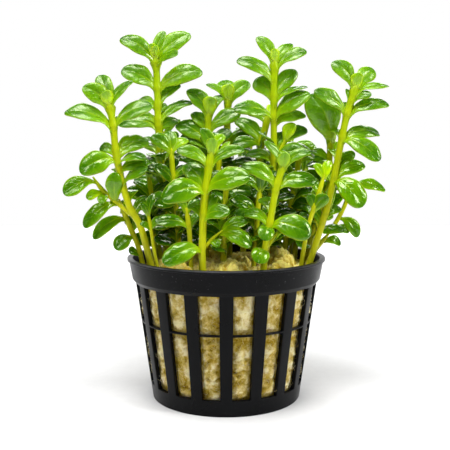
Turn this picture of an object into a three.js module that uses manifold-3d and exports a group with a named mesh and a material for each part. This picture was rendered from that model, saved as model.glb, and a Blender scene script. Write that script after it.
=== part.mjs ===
// Lemon bacopa, an aquarium plant, growing in a slotted net pot packed with rock wool.
//
// Lengths are in millimetres and angles in degrees. The origin is the centre of the pot's base, on the
// surface that it stands on. +Z is up, -Y is the front and +X is to the right.
//
// The pot is one moulding and the rock wool is one plug. Each shoot of the plant is one piece, its stem
// and side twigs with the leaves that grow from them. Every stem stands in a socket in the wool.

import * as THREE from 'three';
import { mergeVertices } from 'three/addons/utils/BufferGeometryUtils.js';
import Module from 'manifold-3d';

const wasm = await Module();
wasm.setup();

// Pot
const RIM_RADIUS = 27.5;
const POT_HEIGHT = 39.2;
const LIP_HEIGHT = 0.8;
const LIP_SLOPE = 0.1;
const BAND_BOTTOM = 33.5;
const BAND_TOP_RADIUS = 27.0;
const BAND_BOTTOM_RADIUS = 26.1;
const BODY_TOP = 32.4;
const BODY_TOP_RADIUS = 25.2;
const FOOT_RADIUS = 20.7;
const WALL = 1.2;
const RIM_WALL = 1.5;
const FLOOR = 1.5;
const SLAT_COUNT = 17;
const SLAT_HALF_ANGLE = 4.1;
const SLOT_BOTTOM = 4.4;
const HOOP_HEIGHT = 22;
const HOOP_THICK = 0.5;
const DRAIN_COUNT = 6;
const DRAIN_WIDTH = 2;
const DRAIN_INNER = 8;
const DRAIN_OUTER = 17;

// The clearance between neighbouring pieces
const GAP = 0.35;

// Rock wool. It swells into the slots by the bulge, over the height of the slope.
const WOOL_BULGE = 0.9;
const WOOL_SLOPE = 2;
const WOOL_EDGE = 1;
const WOOL_TOP = 37.6;
const SOCKET_FLOOR = 33;
const STEM_FOOT = SOCKET_FLOOR + GAP;
// Lumps that stand up between the stems: the place of each in plan, its reach and its height. From front
// to back each is a share of its reach.
const LUMP_DEPTH = 0.8;
const WOOL_LUMPS = [
  { x: -12.5, y: -17, reach: 4, high: 2.6 },
  { x: 1.5, y: -19, reach: 5, high: 3.4 },
  { x: 15, y: -15, reach: 3.5, high: 2.8 },
  { x: -14.5, y: -7.5, reach: 3.2, high: 2.2 },
  { x: 3.5, y: -5.5, reach: 3.4, high: 2.4 },
  { x: 15.5, y: -1, reach: 4, high: 3.6 },
  { x: -12, y: 8, reach: 4, high: 2.4 },
  { x: -2.5, y: 13, reach: 3.4, high: 2.2 },
  { x: 13.5, y: 9.5, reach: 3.6, high: 2.6 },
];
const HIGHEST_LUMP = Math.max(...WOOL_LUMPS.map(({ high }) => high));

// Stems. The tip's thickness is a share of the foot's.
const STEM_SIDES = 5;
const STEM_STEP = 20;
const TIP_SHARE = 0.62;

// Leaves. The highest leaves grow a little below a stem's tip. The arch is a share of a leaf's length,
// and the edges lift above the keel. A leaf under the shortest length is part of a bud and is left out.
const NODE_DEPTH = 0.8;
const LEAF_BREADTH = 0.5;
const LEAF_ARCH = 0.09;
const LEAF_EDGE_LIFT = 0.6;
const SHORTEST_LEAF = 5;
// A leaf's rows from its foot to its tip: the share of its length, its half width as a share of its
// width, and the depth of its keel.
const LEAF_ROWS = [
  { share: 0, half: 0, keel: 0 },
  { share: 0.42, half: 0.46, keel: 0.5 },
  { share: 0.82, half: 0.42, keel: 0.35 },
  { share: 1, half: 0, keel: 0 },
];

// Runs of leaf pairs. The highest pair is shorter by the shrink, a share, and rises more by the lift. A
// pair's second leaf is a share of the first, and the pairs sway a little from a true quarter turn.
const PAIR_SHRINK = 0.35;
const PAIR_LIFT = 20;
const PAIR_SWAY = 12;
const PAIR_SWAY_PACE = 2.4;
const SECOND_LEAF = 0.92;
const PAIR_FACE = 30;

// Finishes
const POT_FINISH = { color: 0x222326, roughness: 0.45, metalness: 0 };
const WOOL_FINISH = { color: 0xcbbd84, roughness: 1, metalness: 0 };
const SHOOT_FINISH = { color: 0x6aa61e, roughness: 0.35, metalness: 0 };

const RADIANS = Math.PI / 180;

// A leaf grows from the stem at the height node. It points the way given in plan, where 0 is right, 90
// is back, 180 is left and -90 is front, and it rises from level. Its upper side faces straight up at
// face 0 and the front at face 90. Broad is its width as a share of its length.
const leaf = (node, way, rise, long, face = 45, broad = LEAF_BREADTH) => (
  { node, way, rise, long, face, broad });

// Leaves in pairs up a stem, each pair turned a quarter from the one below, shorter towards the tip.
function pairs(lowest, highest, step, turn, long, rise) {
  const leaves = [];
  const count = Math.round((highest - lowest) / step);
  for (let i = 0; i <= count; i += 1) {
    const share = i / count;
    const node = lowest + (highest - lowest) * share;
    const size = long * (1 - PAIR_SHRINK * share);
    const way = turn + 90 * i + PAIR_SWAY * Math.sin(PAIR_SWAY_PACE * i + turn);
    const lift = rise + PAIR_LIFT * share;
    leaves.push(leaf(node, way, lift, size, PAIR_FACE));
    leaves.push(leaf(node, way + 180, lift, size * SECOND_LEAF, PAIR_FACE));
  }
  return leaves;
}

// Each shoot has a main stem and may have side twigs. A stem is given by the points that its centre
// line passes through, from foot to tip, and its thickness, the radius at the foot.
const SHOOTS = [
  {
    name: 'shoot_left_tall',
    stems: [{
      thick: 1.15,
      line: [[-19, -10, STEM_FOOT], [-22.5, -10, 47.5], [-26, -9.5, 54.5], [-28.9, -9, 66],
        [-29.8, -9, 75], [-31, -8.5, 82]],
      leaves: [
        leaf(81, -115, 45, 3.6, 80, 0.95), leaf(81.5, 130, 58, 8, 85, 0.55),
        leaf(81, 100, 60, 6, 60, 0.45), leaf(79.9, -170, 38, 8.5, 70, 0.6),
        leaf(79.8, 10, 51, 8.9, 30, 0.44), leaf(74.7, -170, 19.5, 13, 45, 0.45),
        leaf(75, 5, 28, 11.5, 50, 0.52), leaf(66.6, -160, -20, 10.5, 70, 0.6),
        leaf(65.5, -15, 7, 8.2, 30, 0.55), leaf(67.4, 20, 24, 9.5, 60, 0.55),
        leaf(68.6, 165, 5, 4.6, 60, 0.7), leaf(68.6, 30, 15, 7.9, 60, 0.6),
        leaf(63.5, -5, 12, 8.3, 60, 0.55), leaf(60, -25, 25, 8.5, 45), leaf(52, 30, 40, 6, 60),
      ],
    }, {
      thick: 0.75,
      line: [[-24.5, -9.8, 51], [-29, -8.5, 54.5], [-33, -8, 58], [-35.5, -8, 61.5]],
      leaves: [
        leaf(60.9, -165, -27, 9.2, 60, 0.57), leaf(58, -160, -30, 5, 60, 0.6),
        leaf(57.5, -95, -45, 4.5, 60, 0.6), leaf(55, -85, 70, 8, 90, 0.55),
        leaf(55, -172, -40, 11, 60, 0.4),
      ],
    }],
  },
  {
    name: 'shoot_left_low',
    stems: [{
      thick: 0.95,
      line: [[-22, -5, STEM_FOOT], [-24, -4.5, 42], [-26.5, -4, 48], [-29.2, -4.3, 55.3]],
      leaves: [
        leaf(50.6, -160, -31, 10.8, 58, 0.37), leaf(45.8, -140, -35, 6.9, 60, 0.64),
        leaf(41, -150, 0, 3.2, 60, 0.9), leaf(52.5, 90, 40, 3.5, 60), leaf(47, 20, 40, 5, 50),
      ],
    }],
  },
  {
    name: 'shoot_back_left_tall',
    stems: [{
      thick: 1.1,
      line: [[-17, 4, STEM_FOOT], [-18, 5, 57], [-19.2, 6, 75], [-19.5, 7, 86], [-20, 7.5, 96]],
      leaves: [
        leaf(96, -85, 40, 3, 80, 0.8), leaf(95.5, -125, 40, 3.5, 80, 0.7),
        leaf(95, 30, 68, 7.4, 85, 0.42), leaf(93.2, -175, 36, 11.8, 60, 0.44),
        leaf(93.4, 5, 39.5, 12.4, 60, 0.44), leaf(93.2, -35, 12, 8.3, 55, 0.45),
        leaf(86.2, -175, 25, 11, 60, 0.58), leaf(85.7, -5, 24, 13.6, 60, 0.46),
        leaf(81.6, 20, 40, 8.6, 60, 0.36), leaf(80.8, 178, 18, 5.8, 60, 0.55),
        leaf(80.5, 10, 10, 2.8, 60, 0.7), leaf(76.9, 10, 30, 11.3, 40, 0.4),
        leaf(75.1, -172, 6, 11.3, 50, 0.45), leaf(77.2, 178, 0, 7.5, 60, 0.5), leaf(75.2, 15, 15, 6, 70),
        leaf(75.5, 165, 25, 4.5, 70, 0.7), leaf(67, 100, 20, 9, 40), leaf(66, -80, 10, 8, 40),
        leaf(57, 170, 20, 9, 40), leaf(50, 75, 25, 8, 40),
      ],
    }],
  },
  {
    name: 'shoot_centre_right_tall',
    stems: [{
      thick: 1.15,
      line: [[10.5, -2, STEM_FOOT], [12, -1.5, 51], [13, -1, 66], [13, -0.5, 82], [13.2, 0, 94]],
      leaves: [
        leaf(93.5, -100, 55, 2.8, 80, 0.9), leaf(92, 170, 58, 8.6, 60, 0.46),
        leaf(92, 30, 44, 8, 60, 0.4), leaf(90.6, -5, 29, 9.8, 45, 0.44),
        leaf(87.6, -175, 29, 11.4, 50, 0.42), leaf(83.3, 160, 40, 7, 80, 0.8),
        leaf(83.4, 15, 46, 9.3, 60, 0.52), leaf(81.5, -15, 25, 10, 30, 0.4),
        leaf(77.6, -20, 31, 11.7, 50, 0.56), leaf(77.8, -165, 10, 11.6, 45, 0.5),
        leaf(76.3, 10, 11, 9.3, 60, 0.38), leaf(68, 20, 0, 12.5, 40, 0.5), leaf(66, 95, 20, 8, 40),
      ],
    }, {
      thick: 0.6,
      line: [[13, -1, 66.5], [15, -0.5, 69], [16.5, 0, 72.5]],
      leaves: [
        leaf(71.5, 0, 60, 5, 75, 0.7), leaf(71, 25, 25, 8, 55, 0.5),
      ],
    }],
  },
  {
    name: 'shoot_right_tall',
    stems: [{
      thick: 1.2,
      line: [[21.5, -3.5, STEM_FOOT], [25, -3, 44], [27.5, -3, 52.5], [29.5, -2.5, 61], [31.5, -2.5, 72],
        [33, -2.5, 79], [35.5, -2, 87]],
      leaves: [
        leaf(86, -80, 60, 3.4, 80, 0.95), leaf(85.2, 180, 52, 9.3, 60, 0.52),
        leaf(85.5, 30, 38, 8, 75, 0.6), leaf(83.6, -5, 13, 9.8, 35, 0.34),
        leaf(82.4, -25, 8, 5.5, 55, 0.55), leaf(81.5, 170, 70, 3.6, 60, 0.4),
        leaf(78.3, -175, 34, 11, 60, 0.42), leaf(78.4, -5, 15, 11.4, 45, 0.38),
        leaf(71.9, 15, 8.5, 11.4, 50, 0.44), leaf(72.1, -25, -32, 12.5, 60, 0.44),
        leaf(61.5, 5, 20, 9, 55, 0.5), leaf(61.3, -35, -42, 11.8, 70, 0.57), leaf(49, 150, 40, 6.5, 60),
        leaf(51.5, 20, 8, 4.9, 50, 0.6), leaf(54, 40, 62, 4.9, 60, 0.55),
      ],
    }],
  },
  {
    name: 'shoot_front_mid',
    stems: [{
      thick: 1.15,
      line: [[-6, -21.5, STEM_FOOT], [-6, -21.5, 46], [-5.5, -21, 56], [-4.5, -20.5, 63.5],
        [-3.5, -20, 69]],
      leaves: [
        leaf(69, -80, 55, 3.5, 85, 0.8), leaf(68.5, 180, 65, 6, 70, 0.5), leaf(68.5, 20, 50, 5, 70, 0.5),
        leaf(68.5, 75, 50, 6, 80, 0.6), leaf(65.3, -175, 24, 8.8, 60, 0.42),
        leaf(65.3, -5, 23, 9.3, 55, 0.36), leaf(59, -160, -10, 11.5, 65, 0.55),
        leaf(59, -20, 15, 12, 60, 0.5), leaf(59, 150, 45, 8.5, 65, 0.6),
        leaf(52.2, -25, 8, 7.5, 60, 0.55), leaf(53, 25, 50, 5.5, 70, 0.6), leaf(53, 150, 20, 4.9, 60),
        leaf(44.5, -160, -20, 11, 65, 0.5),
      ],
    }, {
      thick: 0.6,
      line: [[-6, -21.3, 43.5], [-3.5, -20.5, 46.5], [-1, -20, 48.5]],
      leaves: [
        leaf(48.2, -20, -20, 9, 60), leaf(48.2, 15, 20, 7.5, 50), leaf(46.5, -60, -35, 3.5, 60, 0.7),
      ],
    }],
  },
  {
    name: 'shoot_front_right',
    stems: [{
      thick: 1.1,
      line: [[9, -21, STEM_FOOT], [10, -20.5, 45.5], [11, -20, 50.5], [12.5, -19.5, 59],
        [14.5, -19, 65.5]],
      leaves: [
        leaf(65.2, -85, 55, 3.5, 85, 0.9), leaf(65, 180, 50, 7.5, 40, 0.35),
        leaf(65, -10, 28, 7.6, 60, 0.4), leaf(65, 80, 60, 4, 80, 0.6), leaf(60, -175, 30, 10, 60, 0.42),
        leaf(60, -5, 5, 10, 55, 0.5), leaf(58.5, 110, 60, 5.5, 70, 0.6),
        leaf(50.5, -20, -15, 11, 65, 0.58), leaf(50.5, 165, 20, 7, 50), leaf(50, -110, -35, 6, 60, 0.7),
        leaf(44.5, -120, -40, 6, 85, 0.8),
      ],
    }, {
      thick: 0.6,
      line: [[9.8, -20.5, 43.5], [11.5, -20, 46], [13, -20, 48]],
      leaves: [
        leaf(47.5, 0, 35, 6, 50),
      ],
    }],
  },
  {
    name: 'shoot_right_inner',
    stems: [{
      thick: 0.9,
      line: [[21, 4, STEM_FOOT], [26, 3, 50], [29.5, 2.5, 61], [29, 3, 66], [29.3, 3, 71.5]],
      leaves: [
        leaf(71.2, -153, 64, 14.2, 75, 0.66), leaf(70, 60, 55, 5, 60, 0.4), leaf(68.5, 40, 25, 5, 50),
        leaf(66.5, -170, 18, 5.5, 60), leaf(57, 60, 30, 7, 50),
      ],
    }],
  },
  {
    name: 'shoot_back_mid_left',
    stems: [{
      thick: 0.95,
      line: [[-6, 7, STEM_FOOT], [-5.5, 7, 60], [-5.2, 7, 74], [-4.8, 7, 80]],
      leaves: [
        leaf(80, -70, 50, 4.4, 80, 0.95), leaf(78.7, 170, 50, 9.2, 55, 0.56),
        leaf(79.3, 35, 45, 6.5, 50), leaf(74, 145, 45, 7.5, 50, 0.6), leaf(74, -5, 30, 10.5, 55, 0.5),
        leaf(68.5, 180, 30, 8.5, 45), leaf(71, 175, 30, 10.2, 60, 0.6),
        leaf(71.5, 155, 38, 4.9, 60, 0.6), leaf(68.5, -90, 30, 8, 50), leaf(62, 95, 30, 8.5, 40),
        leaf(56, 5, 25, 8, 40), leaf(56, -175, 25, 8, 40), leaf(49, 90, 25, 7, 40),
      ],
    }],
  },
  {
    name: 'shoot_back_mid',
    stems: [{
      thick: 0.95,
      line: [[1, 11, STEM_FOOT], [0.5, 10.5, 60], [0.3, 10, 76], [0.5, 10, 84]],
      leaves: [
        leaf(84, -80, 55, 4, 80, 0.95), leaf(83, 180, 35, 7.5, 35, 0.4),
        leaf(83.2, 105, 55, 6.6, 85, 0.85), leaf(82.6, 10, 40, 8.2, 65, 0.54), leaf(76, 90, 35, 8, 40),
        leaf(70, 10, 30, 9, 45), leaf(70, 175, 25, 7, 40), leaf(63, 95, 30, 9, 40),
        leaf(63, -85, 20, 7, 40), leaf(55, 5, 25, 8, 40),
      ],
    }],
  },
  {
    name: 'shoot_behind_centre',
    stems: [{
      thick: 1.05,
      line: [[8.5, 6, STEM_FOOT], [9.1, 8, 60], [10.1, 8, 70], [12.2, 8, 79]],
      leaves: [
        leaf(71, 165, 40, 10, 55, 0.5), leaf(70.5, -160, -5, 9, 50, 0.5),
        leaf(77.5, 165, 20, 6.5, 60, 0.6), leaf(78.5, 60, 50, 4, 60, 0.6), leaf(64, -155, 10, 7.5, 45),
        leaf(64, 40, 25, 9, 40), leaf(57, 85, 25, 9, 40),
      ],
    }],
  },
  {
    name: 'shoot_inner_left',
    stems: [{
      thick: 0.9,
      line: [[-12.5, -3, STEM_FOOT], [-13.5, -3, 50], [-14.5, -3, 61], [-15, -3, 69]],
      leaves: [
        leaf(69, -170, 35, 6.5, 60, 0.65), leaf(69, 105, 60, 6, 80, 0.65),
        leaf(69, 15, 35, 5.5, 50, 0.6), leaf(61.5, -165, 15, 8, 45), leaf(61.5, 0, 20, 7, 45),
        leaf(54.5, 80, 25, 7, 40), leaf(54.5, -100, 20, 7, 50), leaf(48, -170, 20, 7, 45),
        leaf(48, 5, 20, 7, 45),
      ],
    }],
  },
  {
    name: 'shoot_inner_right',
    stems: [{
      thick: 0.85,
      line: [[7, -9, STEM_FOOT], [8, -9, 46], [8.5, -9, 54], [9, -9, 59]],
      leaves: [
        leaf(59, -105, 60, 4, 70, 0.6), leaf(58.5, -170, 25, 6.5, 50), leaf(58.5, 0, 40, 5, 50),
        leaf(51, -170, 35, 9, 50), leaf(51, 25, 35, 6, 50), leaf(45, 90, 25, 6, 40),
        leaf(45, -80, 10, 6, 50),
      ],
    }],
  },
  {
    name: 'shoot_front_left_low',
    stems: [{
      thick: 0.85,
      line: [[-9, -13, STEM_FOOT], [-9.5, -12.5, 44.5], [-10, -12, 50], [-10.5, -12, 53.5]],
      leaves: [
        leaf(53.5, 145, 45, 5.5, 60), leaf(53.5, 35, 30, 4.5, 60), leaf(49, -165, 5, 9, 50, 0.45),
        leaf(49, 0, 40, 4.5, 60),
      ],
    }],
  },
  {
    name: 'shoot_left_pale',
    stems: [{
      thick: 0.6,
      line: [[-17, -14, STEM_FOOT], [-18.8, -13.5, 42], [-19.7, -13, 48], [-20.5, -13, 52.5]],
      leaves: [
        leaf(52.5, 40, 70, 5.5, 60, 0.4), leaf(52, -160, 55, 3.5, 60), leaf(48.5, -155, 20, 3, 60, 0.6),
        leaf(48.5, -20, 40, 3.5, 60, 0.6),
      ],
    }],
  },
  {
    name: 'shoot_right_short',
    stems: [{
      thick: 0.9,
      line: [[19, 7, STEM_FOOT], [20.5, 7, 45], [20.7, 7, 52], [21.2, 7, 57]],
      leaves: [
        leaf(56.5, -135, 70, 5, 85, 0.7), leaf(56.5, 35, 40, 5, 60, 0.6), leaf(50.5, -10, 30, 5, 50),
        leaf(45, 90, 30, 6, 40),
      ],
    }],
  },
  {
    name: 'shoot_right_pale',
    stems: [{
      thick: 0.75,
      line: [[19.5, -8, STEM_FOOT], [21.5, -8, 46], [23.2, -8, 52.5], [25.2, -7.5, 58.5], [26.2, -7, 62]],
      leaves: [
        leaf(53.5, 180, 65, 3.5, 80, 0.8), leaf(53, -15, 40, 5, 75, 0.7),
        leaf(57.5, 150, 50, 4.5, 60, 0.6), leaf(61.8, 35, 60, 4.5, 70, 0.6),
        leaf(61.8, 180, 50, 4, 70, 0.6),
      ],
    }],
  },
  {
    name: 'shoot_right_low',
    stems: [{
      thick: 0.85,
      line: [[21.5, 1, STEM_FOOT], [24.3, 1.3, 39.5], [29.5, 3.2, 45.6]],
      leaves: [
        leaf(43.8, 5, -20, 5.2, 60, 0.55),
      ],
    }, {
      thick: 0.75,
      line: [[29.2, 3.1, 45.1], [33.2, 5, 51.6], [36.4, 6.5, 59.3]],
      leaves: [
        leaf(59, 10, -6, 10.2, 50, 0.42), leaf(50, -15, -46, 8.2, 60, 0.46),
        leaf(47.5, -10, -30, 4.8, 60),
      ],
    }],
  },
  {
    name: 'shoot_rear_left',
    stems: [{
      thick: 0.95,
      line: [[-14, 13, STEM_FOOT], [-16, 15, 52], [-18, 16, 68], [-18.5, 16, 74]],
      leaves: pairs(46, 73, 7, 15, 10, 25),
    }],
  },
  {
    name: 'shoot_rear_mid_left',
    stems: [{
      thick: 0.95,
      line: [[-5, 18, STEM_FOOT], [-6, 20, 54], [-7, 21, 68], [-7, 21, 75]],
      leaves: pairs(47, 74, 7, 60, 9.5, 25),
    }],
  },
  {
    name: 'shoot_rear_mid',
    stems: [{
      thick: 0.95,
      line: [[5, 19, STEM_FOOT], [6, 22, 52], [7, 23, 64], [7, 23, 72]],
      leaves: pairs(45, 71, 6.5, 20, 9.5, 25),
    }],
  },
  {
    name: 'shoot_rear_right',
    stems: [{
      thick: 0.95,
      line: [[13, 15, STEM_FOOT], [16, 17, 52], [18, 18, 66], [19, 18, 72]],
      leaves: [
        ...pairs(46, 71, 6.5, 70, 9.5, 25),
        leaf(68.2, 0, 5, 9, 55, 0.55), leaf(67, -10, -5, 9.5, 55, 0.6),
      ],
    }],
  },
  {
    name: 'shoot_inner_mid',
    stems: [{
      thick: 0.9,
      line: [[-1, 0, STEM_FOOT], [-1.5, 0, 50], [-2, 0, 60], [-2, 0, 68]],
      leaves: pairs(50, 67, 8.5, 0, 8, 30),
    }],
  },
  {
    name: 'shoot_inner_front',
    stems: [{
      thick: 0.85,
      line: [[-0.5, -10, STEM_FOOT], [-0.5, -10, 48], [0, -10.5, 60]],
      leaves: pairs(47, 59, 6, 30, 8, 30),
    }],
  },
  {
    name: 'shoot_inner_far_left',
    stems: [{
      thick: 0.85,
      line: [[-20, 0, STEM_FOOT], [-20.5, 0.5, 50], [-21.5, 1, 62]],
      leaves: pairs(50, 61, 5.5, 100, 8, 30),
    }],
  },
  {
    name: 'shoot_rear_far_right',
    stems: [{
      thick: 0.85,
      line: [[18, 11.5, STEM_FOOT], [21, 13, 48], [23.5, 14, 64]],
      leaves: pairs(46, 63, 8.5, 100, 8.5, 25),
    }],
  },
  {
    name: 'shoot_rear_far_left',
    stems: [{
      thick: 0.85,
      line: [[-18.5, 10, STEM_FOOT], [-21, 11, 47], [-23.5, 12, 61]],
      leaves: pairs(45, 60, 7.5, 10, 8.5, 25),
    }],
  },
  {
    name: 'shoot_inner_back_right',
    stems: [{
      thick: 0.9,
      line: [[16, 5, STEM_FOOT], [18, 6, 50], [20, 7, 60], [21, 8, 68]],
      leaves: [
        ...pairs(50, 67, 8.5, 40, 8, 30),
        leaf(66, 0, 5, 8, 55, 0.6), leaf(67.5, -10, 30, 4.9, 60, 0.6),
      ],
    }],
  },
];

// A closed mesh as a solid that can be joined and cut.
function solidOf(geometry) {
  const bare = new THREE.BufferGeometry();
  bare.setAttribute('position', geometry.getAttribute('position'));
  bare.setIndex(geometry.getIndex());
  const merged = mergeVertices(bare, 1e-4);
  return new wasm.Manifold(new wasm.Mesh({
    numProp: 3,
    vertProperties: new Float32Array(merged.getAttribute('position').array),
    triVerts: new Uint32Array(merged.getIndex().array),
  }));
}

function geometryOf(solid) {
  const mesh = solid.getMesh();
  const geometry = new THREE.BufferGeometry();
  geometry.setAttribute('position', new THREE.BufferAttribute(mesh.vertProperties, 3));
  geometry.setIndex(new THREE.BufferAttribute(mesh.triVerts, 1));
  geometry.computeVertexNormals();
  return geometry;
}

// Moves every corner of a geometry to where place(x, y, z) says.
function reshaped(geometry, place) {
  const position = geometry.getAttribute('position');
  for (let i = 0; i < position.count; i += 1) {
    const moved = place(position.getX(i), position.getY(i), position.getZ(i));
    position.setXYZ(i, moved.x, moved.y, moved.z);
  }
  return geometry;
}

// A point at a radius and a height, at an angle round the pot that starts at the front.
const around = (radius, height, angle) => new THREE.Vector3(
  radius * Math.sin(angle * RADIANS), -radius * Math.cos(angle * RADIANS), height);

// The pot's outer radius at a height on its tapered body.
const bodyRadius = (z) => FOOT_RADIUS + (BODY_TOP_RADIUS - FOOT_RADIUS) * z / BODY_TOP;

// The pot is turned like a lathe part, but its wall is open between the slats: there the outline falls
// apart into the foot, the thin hoop and the rim.
function makePot() {
  const lipBottom = POT_HEIGHT - LIP_HEIGHT;
  const levels = [SLOT_BOTTOM, HOOP_HEIGHT - HOOP_THICK / 2, HOOP_HEIGHT + HOOP_THICK / 2, BODY_TOP];
  const outside = levels.map((z) => [bodyRadius(z), z]);
  const inside = levels.map((z) => [bodyRadius(z) - WALL, z]);
  const foot = [[bodyRadius(FLOOR) - WALL, FLOOR], [0, FLOOR], [0, 0], [FOOT_RADIUS, 0]];
  const rim = [
    [BAND_BOTTOM_RADIUS, BAND_BOTTOM], [BAND_TOP_RADIUS, lipBottom], [RIM_RADIUS, lipBottom + LIP_SLOPE],
    [RIM_RADIUS, POT_HEIGHT], [RIM_RADIUS - RIM_WALL, POT_HEIGHT],
    [BAND_BOTTOM_RADIUS - RIM_WALL, BAND_BOTTOM],
  ];
  const slat = [...foot, ...outside, ...rim, ...inside.slice().reverse()];
  const slot = [
    [...foot, outside[0], inside[0]],
    [outside[1], outside[2], inside[2], inside[1]],
    [outside[3], ...rim, inside[3]],
  ];
  const cheeks = [
    [outside[0], outside[1], inside[1], inside[0]],
    [outside[2], outside[3], inside[3], inside[2]],
  ];

  const corners = [];
  const face = (...points) => corners.push(...points.flatMap((point) => point.toArray()));
  const strip = (outline, from, to) => outline.forEach((low, i) => {
    const high = outline[(i + 1) % outline.length];
    if (high[0] > 0) {
      face(around(...low, from), around(...high, to), around(...high, from));
    }
    if (low[0] > 0) {
      face(around(...low, from), around(...low, to), around(...high, to));
    }
  });
  const cheek = ([a, b, c, d], angle) => {
    face(around(...a, angle), around(...b, angle), around(...c, angle));
    face(around(...a, angle), around(...c, angle), around(...d, angle));
  };

  const pitch = 360 / SLAT_COUNT;
  for (let i = 0; i < SLAT_COUNT; i += 1) {
    const left = i * pitch - SLAT_HALF_ANGLE;
    const right = i * pitch + SLAT_HALF_ANGLE;
    strip(slat, left, right);
    slot.forEach((outline) => strip(outline, right, left + pitch));
    cheeks.forEach((outline) => {
      cheek(outline, left);
      cheek(outline.slice().reverse(), right);
    });
  }
  const geometry = new THREE.BufferGeometry();
  geometry.setAttribute('position', new THREE.Float32BufferAttribute(corners, 3));
  return drained(solidOf(geometry));
}

// The pot with slots through its floor that let water out.
function drained(pot) {
  const drains = Array.from({ length: DRAIN_COUNT }, (_, i) => {
    const drain = new THREE.BoxGeometry(DRAIN_OUTER - DRAIN_INNER, DRAIN_WIDTH, 3 * FLOOR);
    drain.translate((DRAIN_INNER + DRAIN_OUTER) / 2, 0, FLOOR / 2);
    return drain.rotateZ((i + 0.5) * 2 * Math.PI / DRAIN_COUNT);
  });
  return drains.reduce((rest, drain) => rest.subtract(solidOf(drain)), pot);
}

// The wool fills the pot, pinched in by the hoop and the slats and swollen out into the slots. Each row
// has a height, an inset from the slats' inner side and how far the wool swells into a slot there. Its
// corners lie behind the slats' middles and in the slots' middles.
function woolPlug() {
  const hoopReach = HOOP_THICK / 2 + GAP;
  const rows = [
    { height: FLOOR + GAP, inset: WOOL_EDGE, bulge: 0 },
    { height: SLOT_BOTTOM + WOOL_SLOPE, inset: 0, bulge: WOOL_BULGE },
    { height: HOOP_HEIGHT - hoopReach - WOOL_SLOPE, inset: 0, bulge: WOOL_BULGE },
    { height: HOOP_HEIGHT - hoopReach, inset: GAP, bulge: 0 },
    { height: HOOP_HEIGHT + hoopReach, inset: GAP, bulge: 0 },
    { height: HOOP_HEIGHT + hoopReach + WOOL_SLOPE, inset: 0, bulge: WOOL_BULGE },
    { height: BODY_TOP - GAP - WOOL_SLOPE, inset: 0, bulge: WOOL_BULGE },
    { height: BODY_TOP - GAP, inset: GAP, bulge: 0 },
    { height: WOOL_TOP, inset: WOOL_EDGE, bulge: 0 },
  ];
  const last = rows.length - 1;
  const stepCount = 2 * SLAT_COUNT;
  const slatShare = SLAT_HALF_ANGLE * stepCount / 360;
  const geometry = new THREE.CylinderGeometry(1, 1, 1, stepCount, last);
  return solidOf(reshaped(geometry, (x, y, z) => {
    const { height, inset, bulge } = rows[Math.round((y + 0.5) * last)];
    if (Math.hypot(x, z) < 0.5) {
      return new THREE.Vector3(0, 0, height);
    }
    const step = Math.round(Math.atan2(x, z) / (2 * Math.PI) * stepCount) + stepCount;
    const behindSlats = bodyRadius(Math.min(height, BODY_TOP)) - WALL - GAP - inset;
    const swell = step % 2 === 0 ? -bulge * slatShare / (1 - slatShare) : bulge;
    return around(behindSlats + swell, height, step * 360 / stepCount);
  }));
}

// A lump sunk to its middle in the wool's flat top.
function lumpSolid({ x, y, reach, high }) {
  const geometry = new THREE.IcosahedronGeometry(1, 0).scale(reach, reach * LUMP_DEPTH, high);
  return solidOf(geometry.rotateZ(x + y).translate(x, y, WOOL_TOP));
}

const curveThrough = (line) => new THREE.CatmullRomCurve3(
  line.map((point) => new THREE.Vector3(...point)), false, 'catmullrom', 0.5);

// A rod along a curve, from one radius at its start to another at its end.
function rod(curve, startRadius, endRadius, steps) {
  const geometry = new THREE.CylinderGeometry(1, 1, 1, STEM_SIDES, steps);
  return solidOf(reshaped(geometry, (x, y, z) => {
    const share = y + 0.5;
    const ahead = curve.getTangent(share);
    const side = new THREE.Vector3(0, 1, 0).cross(ahead).normalize();
    const depth = ahead.clone().cross(side);
    const radius = startRadius + (endRadius - startRadius) * share;
    return curve.getPoint(share).addScaledVector(side, x * radius).addScaledVector(depth, -z * radius);
  }));
}

function stemSolid({ line, thick }) {
  const curve = curveThrough(line);
  return rod(curve, thick, TIP_SHARE * thick, Math.max(2, Math.round(curve.getLength() / STEM_STEP)));
}

// The hole in the wool that a stem's foot stands in.
function socketSolid({ line, thick }) {
  const curve = curveThrough(line);
  const [x, y] = line[0];
  const mouth = curve.getPoint(shareAt(curve, WOOL_TOP + HIGHEST_LUMP));
  return rod(curveThrough([[x, y, SOCKET_FLOOR], mouth.toArray()]), thick + GAP, thick + GAP, 1);
}

// The share of the way along a curve at which it reaches a height.
function shareAt(curve, height) {
  let low = 0;
  let high = 1;
  while (high - low > 1e-6) {
    const middle = (low + high) / 2;
    if (curve.getPoint(middle).z < height) {
      low = middle;
    } else {
      high = middle;
    }
  }
  return low;
}

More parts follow.
